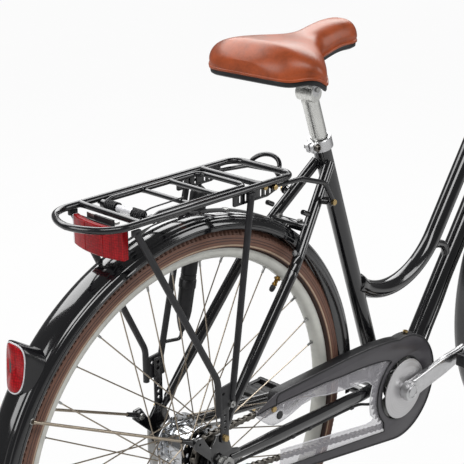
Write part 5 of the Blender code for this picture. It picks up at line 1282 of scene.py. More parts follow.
def make_tail_lamp():
    rings = [lamp_ring(1), lamp_ring(0.7, 2), lamp_ring(0.4, 3, 1.02), lamp_ring(0.18, 3, 1.03),
        lamp_ring(0.05, 2, 1.04), lamp_ring(0, 1, 1.03), lamp_ring(0, 0.6, 1)]
    shell = paint(skin(rings), gloss_black)
    finish([shell], "tail_lamp_shell", "frame", ["tail_lamp_housing"], 40)
    rings = [lamp_ring(0, 0.4, 0.93), lamp_ring(0, -1, 0.92), lamp_ring(0, -1.8, 0.88),
        lamp_ring(0, -2.2, 0.6), lamp_ring(0, -2.4, 0.2)]
    lens = paint(skin(rings), prism_red)
    edge = [lamp_ring(0, 0.5, 0.99), lamp_ring(0, -0.8, 0.985), lamp_ring(0, -0.9, 0.94),
        lamp_ring(0, 0.5, 0.935)]
    rim = paint(skin(list(zip(*edge)), True), clear_edge)
    finish([lens, rim], "tail_lamp_glass", "frame", ["tail_lamp_lens"], 40)


# Carrier

def make_rack():
    w = sizes().rack_half_w
    z = sizes().rack_z
    corners = [point(168, -w, z), point(-184, -w, z), point(-212, -w * 0.3, z), point(-212, w * 0.3, z),
        point(-184, w, z), point(168, w, z)]
    loop = rounded(corners, [22, 44, 80, 80, 44, 22], 12, True)
    parts = [tube(loop, 5, 20, True)]
    for x in (-138, 95):
        parts.append(flared([point(x, -w, z), point(x, w, z)], 4.6, 20, 4, 4, 1))
    parts.append(rod(point(-106, -w, z - 5), point(-106, w, z - 5), 2.5, 14))
    hoop = []
    for k in range(25):
        a = math.pi * k / 24
        hoop.append(point(168 + 14 * math.sin(a), 29 * math.cos(a), z + 16 * math.sin(a)))
    parts.append(tube([point(168, 29, z - 2)] + hoop + [point(168, -29, z - 2)], 3.6, 16))
    bolts = []
    for side in (-1, 1):
        soft = soft_outline(((40, z - 22), (40, z - 1), (132, z - 1), (132, z - 16), (112, z - 22)),
            [3, 1, 3, 5, 5])
        holes = []
        for x in (54, 66, 78, 98, 108, 118):
            holes.append(arc(x, z - 9.5, 2.2, 0, 180, 7) + arc(x, z - 16.5, 2.2, 180, 360, 7))
        parts.append(plate(soft, side * 56.5, side * 59, 0.4, holes))
        strut = rounded([point(118, side * 59.5, z - 9), point(190, side * 55, z - 13),
            point(252, side * 51, z - 34), point(275, side * 50.5, z - 70)], 18, 8)
        parts.append(tube(strut, 4, 16, radii=[0.7] + [1] * (len(strut) - 2) + [0.8]))
        parts.append(rod(point(272, side * 46.8, 341), point(273, side * 50.5, 341), 7.6, 20))
        for at in (point(122, side * 63, z - 9), point(104, side * 59.6, z - 5.5)):
            bolts.append(bolt(at, LEFT * side, 4.6, 3.4))
        bolts.append(bolt(point(273, side * 50.8, 341), LEFT * side, 5.2, 4.6))
    made = [paint(p, carrier_enamel) for p in parts] + [paint(b, yellow_zinc) for b in bolts]
    finish(made, "rack_tubes", "frame", ["rack_frame"])


def make_flap():
    w = 49
    z = sizes().rack_z
    low = z - 5
    path = rounded([point(-106, -w, low), point(-92, -w, z), point(78, -w, z), point(78, w, z),
        point(-92, w, z), point(-106, w, low)], [8, 8, 16, 16, 8, 8], 8)
    parts = [tube(path, 4, 18)]
    for x in (-37, 19):
        parts.append(flared([point(x, -w, z), point(x, w, z)], 3.6, 18, 3, 3, 0.9))
    for side in (-1, 1):
        eye = turned([(-4, 5.4), (-3.4, 6), (3.4, 6), (4, 5.4)], point(-106, side * w, low), LEFT, 28, 3)
        parts.append(eye)
    finish([paint(p, carrier_enamel) for p in parts], "rack_clip", "carrier_flap", ["rack_flap"])
    for name, node, first, last in (("clip_spring_left", "flap_spring_left", 42, 20),
            ("clip_spring_right", "flap_spring_right", -33, -11)):
        pivot = point(-106, 0, low)
        curls = 6
        coil = []
        for i in range(curls * 14 + 1):
            a = math.tau * (i / 14 + 0.25)
            y = first + (last - first) * i / (curls * 14)
            coil.append(pivot + point(6.9 * math.cos(a), y, 6.9 * math.sin(a)))
        ends = [point(-33, first, z + 5), point(-37, first, z + 5), point(-66, first, z + 4.4),
            point(-96, first, z + 3.6)]
        lead = soft_path(ends + [coil[2]], 6)
        parts = [paint(tube(lead[:-1] + coil[2:], 1.2, 8), moulded_black)]
        if last > 0:
            sleeve = turned([(0, 5.4), (30, 5.4)], point(-106, -10.5, low), LEFT, 28, 3)
            parts.append(paint(sleeve, clear_edge))
        finish(parts, name, "carrier_flap", [node], 50)


def leg_at(z):
    t = (z - 104) / (sizes().rack_z - 9.9 - 104)
    return point(13 + 57 * t, 79 - 13.5 * t, z)


def pump_at(z):
    return point(52 + (z - 160) * 45 / 228, 66.5, z)


def make_legs():
    z = sizes().rack_z
    top = z - 9.9
    for s, name, node in ((1, "carrier_legs_left", "rack_legs_left"),
            (-1, "carrier_legs_right", "rack_legs_right")):
        rear = rounded([point(-149, s * 65.5, top), point(-15, s * 78, 143), point(-14, s * 79, 88)], 40,
            10)
        front = [point(70, s * 65.5, top), point(13, s * 79, 104)]
        parts = [tube(rear, 5, 20), tube([front[0], front[0].lerp(front[1], 0.92), front[1]], 5, 20,
            radii=[1, 1, 0.75])]
        for x in (-149, 70):
            parts.append(block(point(x - 7, s * 65.5 - 3, top - 4), point(x + 7, s * 65.5 + 3, z - 5.4),
                1.2))
        soft = soft_outline(((-17, 92), (-17, 128), (20, 131), (22, 92)), 3)
        hole = arc(-4, 118, 2.6, 0, 340, 17)
        parts.append(plate(soft, s * 75, s * 78.6, 0.5, [hole]))
        made = [paint(p, leg_enamel) for p in parts]
        made.append(paint(bolt(point(12, s * 78.8, 97), LEFT * s, 6, 4), zinc))
        made.append(paint(rod(point(12, s * 82, 97), point(12, s * 86, 97), 2.6, 14), zinc))
        if s > 0:
            low = pump_at(156)
            way = (pump_at(356) - low).normalized()
            for end, sense in ((low, -1), (low + way * 232, 1)):
                elbow = end + way * sense * 12
                root = leg_at(elbow.z)
                peg = rounded([root, elbow, end + way * sense * 0.6], 7, 8)
                made.append(paint(tube(peg, 2.9, 14), carrier_enamel))
        finish(made, name, "frame", [node])
    for s, name, node in ((1, "carrier_strip_left", "rack_strip_left"),
            (-1, "carrier_strip_right", "rack_strip_right")):
        soft = soft_outline(((-4, 34), (-4, 126), (12, 126), (12, 34)), 4, 4)
        holes = []
        for q in (58, 68, 78, 108, 118):
            holes.append(arc(4, q, 2.7, 0, 340, 17))
        parts = [paint(plate(soft, s * 70.8, s * 73.8, 0.4, holes), carrier_enamel)]
        parts.append(paint(bolt(point(3, s * 73.6, 42), LEFT * s, 5.5, 4.6), yellow_zinc))
        parts.append(paint(bolt(point(4, s * 73.6, 97), LEFT * s, 3, 1, 12), yellow_zinc))
        finish(parts, name, "frame", [node])


def make_pump():
    low = pump_at(156)
    way = (pump_at(356) - low).normalized()
    r = 13.5
    n = 232
    barrel = turned([(0, 3.6), (2, 4.8), (14, 8.6), (24, 10.8), (34, r - 1.6), (70, r - 1), (71, r - 1),
        (71.6, r), (84, r), (84.8, r - 0.4), (85.2, r - 1.2), (92, r - 1.2), (92.6, r - 2), (93.6, r - 2),
        (94.2, r - 1.1), (n - 78, r - 1), (n - 77, r - 0.3), (n - 76, r), (n - 60, r), (n - 59, r - 0.7),
        (n - 57.5, r - 0.7), (n - 56.5, r), (n - 12, r), (n - 5, r - 3), (n - 1, 6), (n, 4.4)], low, way,
        44)
    finish([paint(barrel, moulded_black)], "pump_barrel", "frame", ["pump"])


def make_reflector():
    top = sizes().rack_z - 7
    low = top - 43.5
    face = -160
    rings = []
    for k in range(25):
        y = -50.5 + 101 * k / 24
        bow = 9 * (1 - (y / 50.5) ** 2)
        x = face - bow
        rings.append([point(x + 9, y, low + 1), point(x + 1.2, y, low), point(x, y, low + 1.4),
            point(x, y, top - 1.4), point(x + 1.2, y, top), point(x + 9, y, top - 1)])
    red = paint(skin(rings), prism_red)
    ribs = []
    for y in (-18, 18):
        bow = 9 * (1 - (y / 50.5) ** 2)
        ribs.append(paint(block(point(face - bow - 0.5, y - 0.7, low + 1.5),
            point(face - bow + 1, y + 0.7, top - 1.5), 0.3), prism_red))
    edge = paint(block(point(face + 0.5, 50, low + 1), point(face + 9.5, 53.6, top - 1), 0.6), clear_edge)
    back = paint(block(point(face + 7, -50, low + 4), point(face + 11, 50, top - 3), 1), moulded_black)
    holder = paint(block(point(face + 10.5, -20, low + 12), point(face + 14, 20, top + 4), 1),
        moulded_black)
    neck = paint(block(point(face + 12, -16, top - 6), point(-134, 16, top - 2), 1), zinc)
    tab = paint(block(point(face + 13, 22, top - 10), point(face + 14.6, 38, top + 3), 0.6), zinc)
    nut = paint(bolt(point(face + 14.4, 30, top - 3), AHEAD, 4.4, 3.6), zinc)
    finish([red, edge, back, holder, neck, tab, nut] + ribs, "rack_reflector_block", "frame",
        ["rack_reflector"])


# Drive

def chain_line():
    """The chain's closed line at even steps of one pitch."""
    gap = REAR_AXLE - BB
    far = gap.length
    line = math.degrees(math.atan2(gap.z, gap.x))
    lean = math.degrees(math.acos((RING_R - COG_R) / far))
    path = []
    for i in range(181):
        path.append(BB + polar(line + lean + (360 - 2 * lean) * i / 180, RING_R))
    for i in range(91):
        path.append(REAR_AXLE + polar(line - lean + 2 * lean * i / 90, COG_R))
    path.append(path[0])
    runs = [0]
    for a, b in zip(path, path[1:]):
        runs.append(runs[-1] + (b - a).length)
    count = round(runs[-1] / PITCH / 2) * 2
    out = []
    k = 0
    for i in range(count):
        want = runs[-1] * i / count
        while runs[k + 1] < want:
            k += 1
        t = (want - runs[k]) / (runs[k + 1] - runs[k])
        out.append(path[k].lerp(path[k + 1], t))
    return out


def make_chain():
    """Inner links with rollers and outer links with pins, by turns."""
    pins = chain_line()
    made = []
    for kind, y, pin, pin_r, sides in ((0, 2.3, 2.3, 3.7, 12), (1, 3.4, 4.6, 1.8, 8)):
        outline = [*arc(0, 0, 4.1, 90, 270, 7), (PITCH / 2, -2.6), *arc(PITCH, 0, 4.1, -90, 90, 7),
            (PITCH / 2, 2.6)]
        pair = [plate(outline, y, y + 1, 0.15), plate(outline, -y - 1, -y, 0.15)]
        for x in (0, PITCH):
            pair.append(tube([point(x, -pin, 0), point(x, pin, 0)], pin_r, sides))
        link = joined(pair)
        places = []
        for i in range(kind, len(pins), 2):
            a = pins[i]
            b = pins[(i + 1) % len(pins)]
            way = (b - a).normalized()
            turn = Matrix.Rotation(-math.atan2(way.z, way.x), 4, "Y")
            places.append(Matrix.Translation(a + LEFT * CHAIN_Y) @ turn)
        made.append(paint(copies(link, places), dark_steel))
    finish(made, "chain_links", "frame", ["chain"])


def toothed(centre, teeth, pitch_r, hole_r, holes):
    """A chainwheel on the chain's line."""
    outline = []
    for i in range(teeth):
        for share, reach in ((0, -3.8), (0.18, -3.2), (0.36, 0.4), (0.46, 2.6), (0.54, 2.6), (0.64, 0.4),
                (0.82, -3.2)):
            a = math.radians(360 * (i + share) / teeth)
            outline.append((centre.x + math.cos(a) * (pitch_r + reach), centre.z + math.sin(a)
                * (pitch_r + reach)))
    rings = [arc(centre.x, centre.z, hole_r, 0, 352, 43), *holes]
    return plate(outline, CHAIN_Y - 1.2, CHAIN_Y + 1.2, 0.25, rings)


def crank_shape(side, angle):
    """The forged arm: thick at the boss, waisted, with a round eye."""
    face = side * (66 + 6.5)
    rings = []
    along = polar(angle)
    across = polar(angle + 90)
    for i in range(49):
        t = i / 48
        u = -12 + (CRANK_LENGTH + 24) * t
        boss = 1 - ease((u - 4) / 44)
        w = 18.2 + 0.6 * boss - 4.2 * ease((u - 96) / 60)
        if u < 0:
            w = math.sqrt(max(18.8 ** 2 - (u / 12 * 18.2) ** 2, 3))
        if u > CRANK_LENGTH:
            w = math.sqrt(max(14 ** 2 - ((u - CRANK_LENGTH) / 12 * 13.6) ** 2, 3))
        deep = 6.4 + 0.1 * boss - 0.7 * math.exp(-((u - 90) / 40) ** 2)
        ring = []
        for k in range(24):
            a = math.tau * k / 24
            cy = squared(math.cos(a), 0.55) * w
            cz = squared(math.sin(a), 0.55) * deep
            ring.append(BB + along * u + across * cy + LEFT * (face + cz))
        rings.append(ring)
    return skin(rings)


def make_cranks():
    for side, angle, name, node in ((-1, CRANK_ANGLE, "crank_arm_right", "crank_right"),
            (1, CRANK_ANGLE + 180, "crank_arm_left", "crank_left")):
        arm = crank_shape(side, angle)
        boss = turned([(40, 15.4), (41, 16), (64, 16), (70, 18.8), (80, 18.8), (81, 17.8)], BB, LEFT * side,
            56, 8.6)
        cap = turned([(76, 13), (81.6, 13), (82.4, 12.2), (82.4, 10.6), (81.2, 9.6)], BB, LEFT * side, 48)
        root = BB + polar(angle, CRANK_LENGTH)
        lip = turned([(78.6, 9.6), (79.4, 9.6), (79.8, 9)], root, LEFT * side, 36, 5.6)
        pin = rod(root + LEFT * side * 73, root + LEFT * side * 168, 5.4, 24)
        flats = bolt(root + LEFT * side * 79.6, LEFT * side, 7.6, 4.6)
        parts = [paint(p, crank_alloy) for p in (arm, boss, cap, lip)]
        parts += [paint(pin, zinc), paint(flats, zinc)]
        if side > 0:
            parts.append(paint(rod(BB + LEFT * 70, BB - LEFT * 75, 8.4, 28), dark_steel))
        finish(parts, name, "crankset", [node])
    spider = []
    for i in range(5):
        a = math.radians(72 * i + 36)
        cx = BB.x + math.cos(a) * 43
        cz = BB.z + math.sin(a) * 43
        spider.append(arc(cx, cz, 13, 0, 348, 29))
    ring = toothed(BB, RING_TEETH, RING_R, 16.6, spider)
    finish([paint(ring, zinc)], "chainring_steel", "crankset", ["chainring"])
    cover = turned([(59.8, 54.8), (60.8, 56), (62.2, 56), (62.8, 54.6), (63, 51), (63.4, 47), (64.4, 44),
        (64.8, 40), (64.8, 22), (64.2, 20)], BB, -LEFT, 96, 16.6)
    finish([paint(cover, disc_alloy)], "crank_disc", "crankset", ["crank_cover"], 24)


def make_pedals():
    near = 6
    far = 94
    for side, angle, body, node in ((-1, CRANK_ANGLE, "right_pedal", "pedal_right"),
            (1, CRANK_ANGLE + 180, "left_pedal", "pedal_left")):
        root = BB + polar(angle, CRANK_LENGTH) + LEFT * side * 79
        parts = []
        for x in (-37.5, 37.5):
            parts.append(block(root + point(x - 4.5, min(side * near, side * far), -12), root
                + point(x + 4.5, max(side * near, side * far), 12), 2))
            for q in range(9):
                y = side * (near + 8 + q * 9)
                parts.append(block(root + point(x - 4.2, y - 2.4, -11.6), root
                    + point(x + 4.2, y + 2.4, 11.9), 0.8))
        for y in (near + 4.5, far - 4.5):
            parts.append(block(root + point(-40, side * y - 4.5, -11), root + point(40, side * y + 4.5, 11),
                2.5))
        parts.append(turned([(near, 11), (near + 4, 11.8), (far - 4, 11.8), (far, 10)], root, LEFT * side,
            32, 6.1))
        made = [paint(p, moulded_black) for p in parts]
        for x in (-12.5, 12.5):
            pad = block(root + point(x - 9, side * 50 - 34, -10.6), root
                + point(x + 9, side * 50 + 34, 10.6), 3)
            made.append(paint(pad, black_rubber))
        for x in (-42.3, 41.3):
            made.append(paint(block(root + point(x, side * 50 - 22, -6), root
                + point(x + 1, side * 50 + 22, 6), 0.4), yellow_zinc))
        cap = turned([(far - 2, 9), (far + 1.2, 8.4), (far + 1.8, 0)], root, LEFT * side, 28)
        made.append(paint(cap, moulded_black))
        finish(made, node + "_block", body, [node])


def make_axle_set():
    parts = [paint(rod(REAR_AXLE - LEFT * 89, REAR_AXLE + LEFT * 89, 5, 24), zinc)]
    right = turned([(52, 20.6), (53, 21.2), (59.5, 21.2), (61, 19), (63, 11.5), (64.6, 11)], REAR_AXLE,
        -LEFT, 48, 5.2)
    left = turned([(37.6, 30.4), (38.6, 31.2), (45.5, 31.2), (47.2, 29.4), (48, 14), (49, 11.4),
        (64.6, 11)], REAR_AXLE, LEFT, 56, 5.2)
    parts += [paint(right, gloss_black), paint(left, gloss_black)]
    for side in (-1, 1):
        washer = turned([(70.3, 10.6), (71.6, 10.6)], REAR_AXLE, LEFT * side, 36, 5.2)
        parts.append(paint(washer, zinc))
        parts.append(paint(bolt(REAR_AXLE + LEFT * side * 71.6, LEFT * side, 8.8, 6.4), zinc))
    soft = soft_outline(((-14, 8), (-14, -12), (0, -22), (150, -44), (158, -40), (158, -34), (14, 8)), 3, 4)
    parts.append(paint(plate(soft, 45, 49.5, 0.7), zinc))
    finish(parts, "rear_axle_set", "frame", ["rear_axle"])
    holes = []
    for i in range(6):
        a = math.radians(60 * i)
        holes.append(arc(math.cos(a) * 23, math.sin(a) * 23, 3.4, 0, 340, 15))
    cog = toothed(REAR_AXLE, COG_TEETH, COG_R, 14, holes)
    driver = turned([(36.8, 34), (38.4, 34.6), (39.6, 34), (39.6, 18), (48.4, 18), (48.4, 25), (49, 25.6),
        (51.4, 25.6), (51.6, 24.6)], REAR_AXLE, -LEFT, 56, 6)
    finish([paint(cog, dark_steel), paint(driver, gloss_black)], "rear_sprocket_set", "cog", ["sprocket"])


# Chain case

CASE_SLOPE = math.tan(math.radians(11))


def case_arc(radius, start, stop, steps):
    return arc(BB.x, BB.z, radius, start, stop, steps)


def lower_line(x, drop):
    return BB.z - drop + (BB.x - x) * CASE_SLOPE


def case_outline():
    low_r = 100 / math.cos(math.radians(11))
    outline = [(150, lower_line(150, low_r))]
    outline += case_arc(100, -101, 97, 66)
    outline += soft_edge(((463.5, 42.9), (441, 47.6), (419, 50.5), (380, 54.5), (325, 57)), 8)[1:]
    outline += [(148, 57)] + arc(148, 45, 12, 90, 180, 6)[1:] + [(136, 37)]
    return outline


def face_outline():
    """The face runs on past the flange's end as a slanted tip."""
    return case_outline()[:-8] + [(137, 57.6), (118, 51), (99, 43), (91, 37.5)]


def window_edge():
    path = [(150, lower_line(150, 87)), (427, -126)]
    path += case_arc(71, 118, 225, 26)[::-1]
    return path + soft_edge(((442, 6.3), (432, 12), (400, 19), (350, 25), (296, 29), (244, 34), (136, 38.5),
        (93, 37)), 10)[1:]


def opening_edge():
    path = [(152, lower_line(152, 56)), (378, lower_line(378, 56)), (392, lower_line(392, 56) + 2.5),
        (399, lower_line(399, 56) + 8)]
    path += case_arc(89, 158, 196, 12)[::-1]
    return path + soft_edge(((385, -16), (372, -8), (324, -3), (270, 6), (224, 17), (196, 11), (166, 4),
        (134, 3), (113, 16), (95, 31.5)), 9)


def inset_ring(outline, distance):
    """The outline moved inward; points run anticlockwise."""
    out = []
    count = len(outline)
    for i, (x, z) in enumerate(outline):
        px, pz = outline[i - 1]
        nx, nz = outline[(i + 1) % count]
        a = Vector((x - px, z - pz)).normalized()
        b = Vector((nx - x, nz - z)).normalized()
        na = Vector((-a.y, a.x))
        nb = Vector((-b.y, b.x))
        mid = (na + nb).normalized()
        step = distance / max(mid.dot(na), 0.3)
        out.append((x + mid.x * step, z + mid.y * step))
    return out


def make_case():
    outline = case_outline()
    border = window_edge()
    face_ring = face_outline() + border[::-1]
    hub = case_arc(58.5, 0, 355, 71)
    face = paint(plate(face_ring, -56, -54.2, 0.5, [hub]), case_face)
    rings = []
    for ring_y, inward in ((-53.8, 1.4), (-55.8, 0.9), (-56.4, 3.4), (-57, 2.6), (-56.6, 0.6), (-54.6, 0),
            (-38, 0), (-37, 0.6), (-37, 2), (-53.8, 2.2)):
        rings.append([point(x, ring_y, z) for x, z in inset_ring(outline, inward)])
    wall = paint(skin(list(zip(*rings))), moulded_black)
    lip = []
    for q, r in ((0, 60.5), (-0.6, 59.6), (-0.6, 58.6), (0.2, 58.2), (2, 58.2), (2, 60.5)):
        lip.append((q - 56, r))
    collar = paint(lathed(lip, BB, LEFT, 96), moulded_black)
    trim = paint(tube([point(x, -56.1, z) for x, z in border], 0.9, 8), moulded_black)
    parts = [face, wall, collar, trim]
    parts.append(paint(block(point(BB.x - 12, -35.9, -155), point(BB.x + 12, -34.3, -73), 0.5),
        moulded_black))
    parts.append(paint(block(point(BB.x - 12, -40, -155.8), point(BB.x + 12, -34.3, -150), 0.5),
        moulded_black))
    ring = turned([(34.3, 27), (35.9, 27)], BB, -LEFT, 48, 17.4)
    parts.append(paint(ring, moulded_black))
    parts.append(paint(bolt(point(493, -46, 43.5), polar(80), 4.6, 3.2, 20, 2.4), yellow_zinc))
    parts.append(paint(turned([(0, 5), (0.8, 5.4), (3, 4.6), (3.4, 0)], point(133, -53.8, 32), -LEFT, 24),
        yellow_zinc))
    finish(parts, "chain_case_shell", "frame", ["chain_guard"], 28)
    lapped = []
    for i, (x, z) in enumerate(border):
        ax, az = border[max(i - 1, 0)]
        bx, bz = border[min(i + 1, len(border) - 1)]
        way = Vector((bx - ax, bz - az)).normalized()
        lapped.append((x + way.y * 5, z - way.x * 5))
    ring = lapped + opening_edge()[::-1]
    slot = arc(190, 22.5, 3.6, -90, 90, 8) + arc(174, 17.5, 3, 90, 270, 8)
    sheet = paint(plate(ring, -53.7, -52.3, 0.3, [slot]), case_sheet)
    lip = tube([point(x, -52.6, z) for x, z in opening_edge()], 1, 8)
    eye = turned([(0, 6.8), (1.6, 6.8), (2.4, 6)], point(147, -53.6, 16), -LEFT, 28)
    finish([sheet, paint(lip, clear_edge), paint(eye, moulded_black)], "case_clear_strip", "frame",
        ["guard_window"], 28)


# Stand

def make_stand():
    eye_y = 80
    low = 7 - AXLE_Z
    path = [point(2, eye_y + 5, -16), point(5, eye_y + 9, -60), point(26, 125, low), point(26, -125, low),
        point(5, -eye_y - 9, -60), point(2, -eye_y - 5, -16)]
    parts = [paint(tube(rounded(path, 30, 10), 7, 24), zinc)]
    for side in (-1, 1):
        soft = soft_outline(((-12, 4), (-12, -40), (14, -40), (12, 4), (5, 12), (-5, 12)), 2.5)
        hole = arc(0, 0, 5.6, 0, 345, 23)
        parts.append(paint(plate(soft, side * eye_y, side * (eye_y + 4), 0.6, [hole]), zinc))
        foot = tube([point(26, side * 60, low), point(26, side * 92, low)], 7, 24)
        parts.append(paint(foot, black_rubber))
    finish(parts, "rear_stand_legs", "kickstand", ["stand"])


# Front end

def make_fork():
    parts = []
    crown = turned([(-46, 8), (-42, 12), (42, 12), (46, 8)], on_steer(398), LEFT, 40)
    parts.append(paint(crown, frame_enamel))
    parts.append(paint(tube([on_steer(398), on_steer(410), on_steer(419)], 21, 40, radii=[0.8, 0.95, 1]),
        frame_enamel))
    parts.append(paint(tube([on_steer(405), on_steer(654)], 12.6, 32), zinc))
    parts.append(paint(turned([(0.3, 21), (1.6, 22), (7, 21.6), (10.2, 18)], on_steer(642), STEER_DIR),
        crank_alloy))
    for side in (-1, 1):
        path = rounded([on_steer(398, 0, side * 44), on_steer(95, 0, side * 48),
            on_steer(12, 56, side * 52.5)], 110, 12)
        dense = soft_path(path, 14)
        radii = [1 - 0.56 * (i / (len(dense) - 1)) ** 1.3 for i in range(len(dense))]
        parts.append(paint(tube(dense, 12, 26, radii=radii), frame_enamel))
        eye = turned([(50, 14.2), (50.8, 15), (54.2, 15), (55, 14.2)], FRONT_AXLE, LEFT * side, 36, 5.4)
        parts.append(paint(eye, frame_enamel))
        pivot = on_steer(BRAKE_T, -10, side * BRAKE_Y)
        parts.append(paint(rod(pivot + STEER_FRONT * 4, pivot - STEER_FRONT * 12, 3.8, 18), zinc))
    finish(parts, "fork_blades", "steering", ["fork"])


def make_front_mudguard():
    parts = [paint(guard_blade(FRONT_AXLE, 38, 212), frame_enamel)]
    end = FRONT_AXLE + polar(198, 353)
    for side in (-1, 1):
        start = FRONT_AXLE - STEER_FRONT * 14.5 + LEFT * side * 57.8
        tip = end + LEFT * side * 28.5
        parts.append(paint(tube([start, tip], 2.2, 14), spoke_wire))
        parts.append(paint(rod(start - LEFT * side * 2.3, start + LEFT * side * 1.7, 4.2, 18), gloss_black))
    finish(parts, "front_mudguard_blade", "steering", ["front_mudguard"], 24)


def make_brakes():
    for side, body, node in ((-1, "right_brake_arm", "brake_arm_right"),
            (1, "left_brake_arm", "brake_arm_left")):
        pivot = on_steer(BRAKE_T, -10, side * BRAKE_Y)
        out = LEFT * side
        back = -STEER_FRONT
        rings = []
        for v, w, d in ((-8.5, 4.5, 4), (-6, 6.4, 4.7), (20, 6.4, 4.7), (60, 5, 4.4), (100, 4.2, 4),
                (106, 3.4, 3.4)):
            centre = pivot + back * 8.2 + STEER_DIR * v
            rings.append([centre + out * w * squared(math.cos(a), 0.6) + back * d
                * squared(math.sin(a), 0.6) for a in [math.tau * k / 20 for k in range(20)]])
        arm = paint(skin(rings), crank_alloy)
        toward = pivot + back * 8 + STEER_DIR * 24 - FRONT_AXLE
        toward.y = 0
        toward.normalize()
        middle = FRONT_AXLE + toward * 309.5 + out * BRAKE_Y
        face = -(BRAKE_Y - 12.5 - 2.9)
        stud = paint(rod(middle + out * 4, middle + out * (face + 6), 3.4, 16), zinc)
        along = LEFT.cross(toward)
        rings = []
        for k in range(15):
            u = -28 + 4 * k
            slim = 1 - 0.5 * max(0, (abs(u) - 20) / 8) ** 2
            rings.append([middle + along * u + out * (face + p) + toward * q * slim
                for p, q in ((0, -4.2), (2, -4.6), (7, -4.4), (8, -3), (8, 3), (7, 4.4), (2, 4.6),
                (0, 4.2))])
        pad = paint(skin(rings), black_rubber)
        head = paint(bolt(pivot + back * 13, back, 4.6, 3, 20, 2.2), zinc)
        finish([arm, stud, pad, head], node + "_lever", body, [node])


def bar_points():
    middle = on_steer(BAR_T, BAR_AHEAD)
    half = [point(0, 40, 0), point(34, 130, 30), point(10, 235, 70), point(-70, 284, 70),
        point(-215, 300, 62)]
    right = [middle + point(p.x, -p.y, p.z) for p in reversed(half)]
    return right + [middle + p for p in half]


def grip_line(side):
    points = bar_points()
    tip = points[0] if side < 0 else points[-1]
    inward = points[1] if side < 0 else points[-2]
    return tip, (inward - tip).normalized()


def lever_frame():
    tip, way = grip_line(-1)
    down = -UP
    down = (down - way * down.dot(way)).normalized()
    out = way.cross(down).normalized()
    start = tip + way * (128.3 + 20)
    return start + down * 23, way, out, down


def make_cockpit():
    middle = on_steer(BAR_T, BAR_AHEAD)
    quill = tube([on_steer(654.3), on_steer(BAR_T - 26), on_steer(BAR_T - 6)], 11, 32)
    reach = tube(rounded([on_steer(BAR_T - 30), on_steer(BAR_T - 8, 4), middle], 14, 8), 13, 32)
    clamp = turned([(-21, 17.6), (-19.6, 19), (19.6, 19), (21, 17.6)], middle, LEFT, 48, 11.4)
    knob = paint(bolt(on_steer(BAR_T - 1, 2), STEER_DIR, 6, 4, 24, 3), zinc)
    finish([paint(p, crank_alloy) for p in (quill, reach, clamp)] + [knob], "stem_quill", "steering",
        ["stem"])
    bar = paint(tube(rounded(bar_points(), 30, 12), 11, 32), crank_alloy)
    pivot, way, out, down = lever_frame()
    root = pivot - down * 23
    collar = paint(turned([(-10, 15.2), (-9, 16), (19, 16), (20, 15.2)], root, -way, 40, 11.4),
        moulded_black)
    cheeks = []
    for s in (-1, 1):
        a = root + down * 12 + out * s * 7
        cheeks.append(paint(tube([a, pivot + out * s * 7 + down * 4], 6.6, 20, radii=[1.25, 1]),
            moulded_black))
    pin = paint(rod(pivot - out * 10, pivot + out * 10, 2.6, 16), zinc)
    finish([bar, collar, pin] + cheeks, "handlebar_tube", "steering", ["handlebar"])
    for side, length, node in ((-1, 94, "grip_right"), (1, 128, "grip_left")):
        tip, way = grip_line(side)
        profile = [(-4, 11), (-3, 13), (0, 16.4), (3, 17.2), (5, 16.2)]
        q = 8
        while q < length - 8:
            swell = 16.2 + 1.2 * math.exp(-((q / length - 0.3) / 0.2) ** 2)
            profile += [(q, swell), (q + 1.2, swell + 0.7), (q + 2.8, swell + 0.7), (q + 4, swell)]
            q += 5.6
        profile += [(length - 4, 16), (length - 3, 16.8), (length - 1, 16.6), (length, 15.4),
            (length, 11.5), (1, 11.5), (-1, 0)]
        finish([paint(turned(profile, tip, way, 40), grip_rubber)], node + "_sleeve", "steering", [node],
            40)
    tip, way = grip_line(-1)
    start = 94.5
    profile = [(start, 16.6), (start + 1, 17.5), (start + 2, 17.5)]
    for k in range(7):
        q = start + 3 + k * 3.2
        profile += [(q, 17.5), (q + 0.8, 16.7), (q + 2.2, 16.7), (q + 2.8, 17.6)]
    profile += [(start + 27, 18.4), (start + 29, 20.2), (start + 30, 20.5), (start + 32.4, 20.5),
        (start + 33, 19.8)]
    finish([paint(turned(profile, tip, way, 48, 11.8), moulded_black)], "gear_twist_ring", "shifter",
        ["twist_shifter"])
    pivot, way, out, down = lever_frame()
    knee = pivot + down * 16 - way * 26
    far = pivot + down * 44 - way * 128
    line = soft_path(rounded([pivot + way * 5, knee, far], 20, 6), 8)
    rings = []
    for i, p in enumerate(line):
        tangent = (line[min(i + 1, len(line) - 1)] - line[max(i - 1, 0)]).normalized()
        lift = out.cross(tangent)
        t = i / (len(line) - 1)
        w = 3.4 + 2.2 * ease((t - 0.25) / 0.4) - 1.4 * ease((t - 0.92) / 0.08)
        h = 4.2 - 1.4 * ease((t - 0.2) / 0.4)
        rings.append([p + out * w * math.cos(math.tau * k / 16) + lift * h * math.sin(math.tau * k / 16)
            for k in range(16)])
    finish([paint(skin(rings), crank_alloy)], "brake_lever_blade", "brake_handle", ["brake_lever"])


# Cables

def beside_down_tube(x):
    return point(x, -20.6, 66 + (x - 650) * math.tan(math.radians(TWIN_ANGLE)))


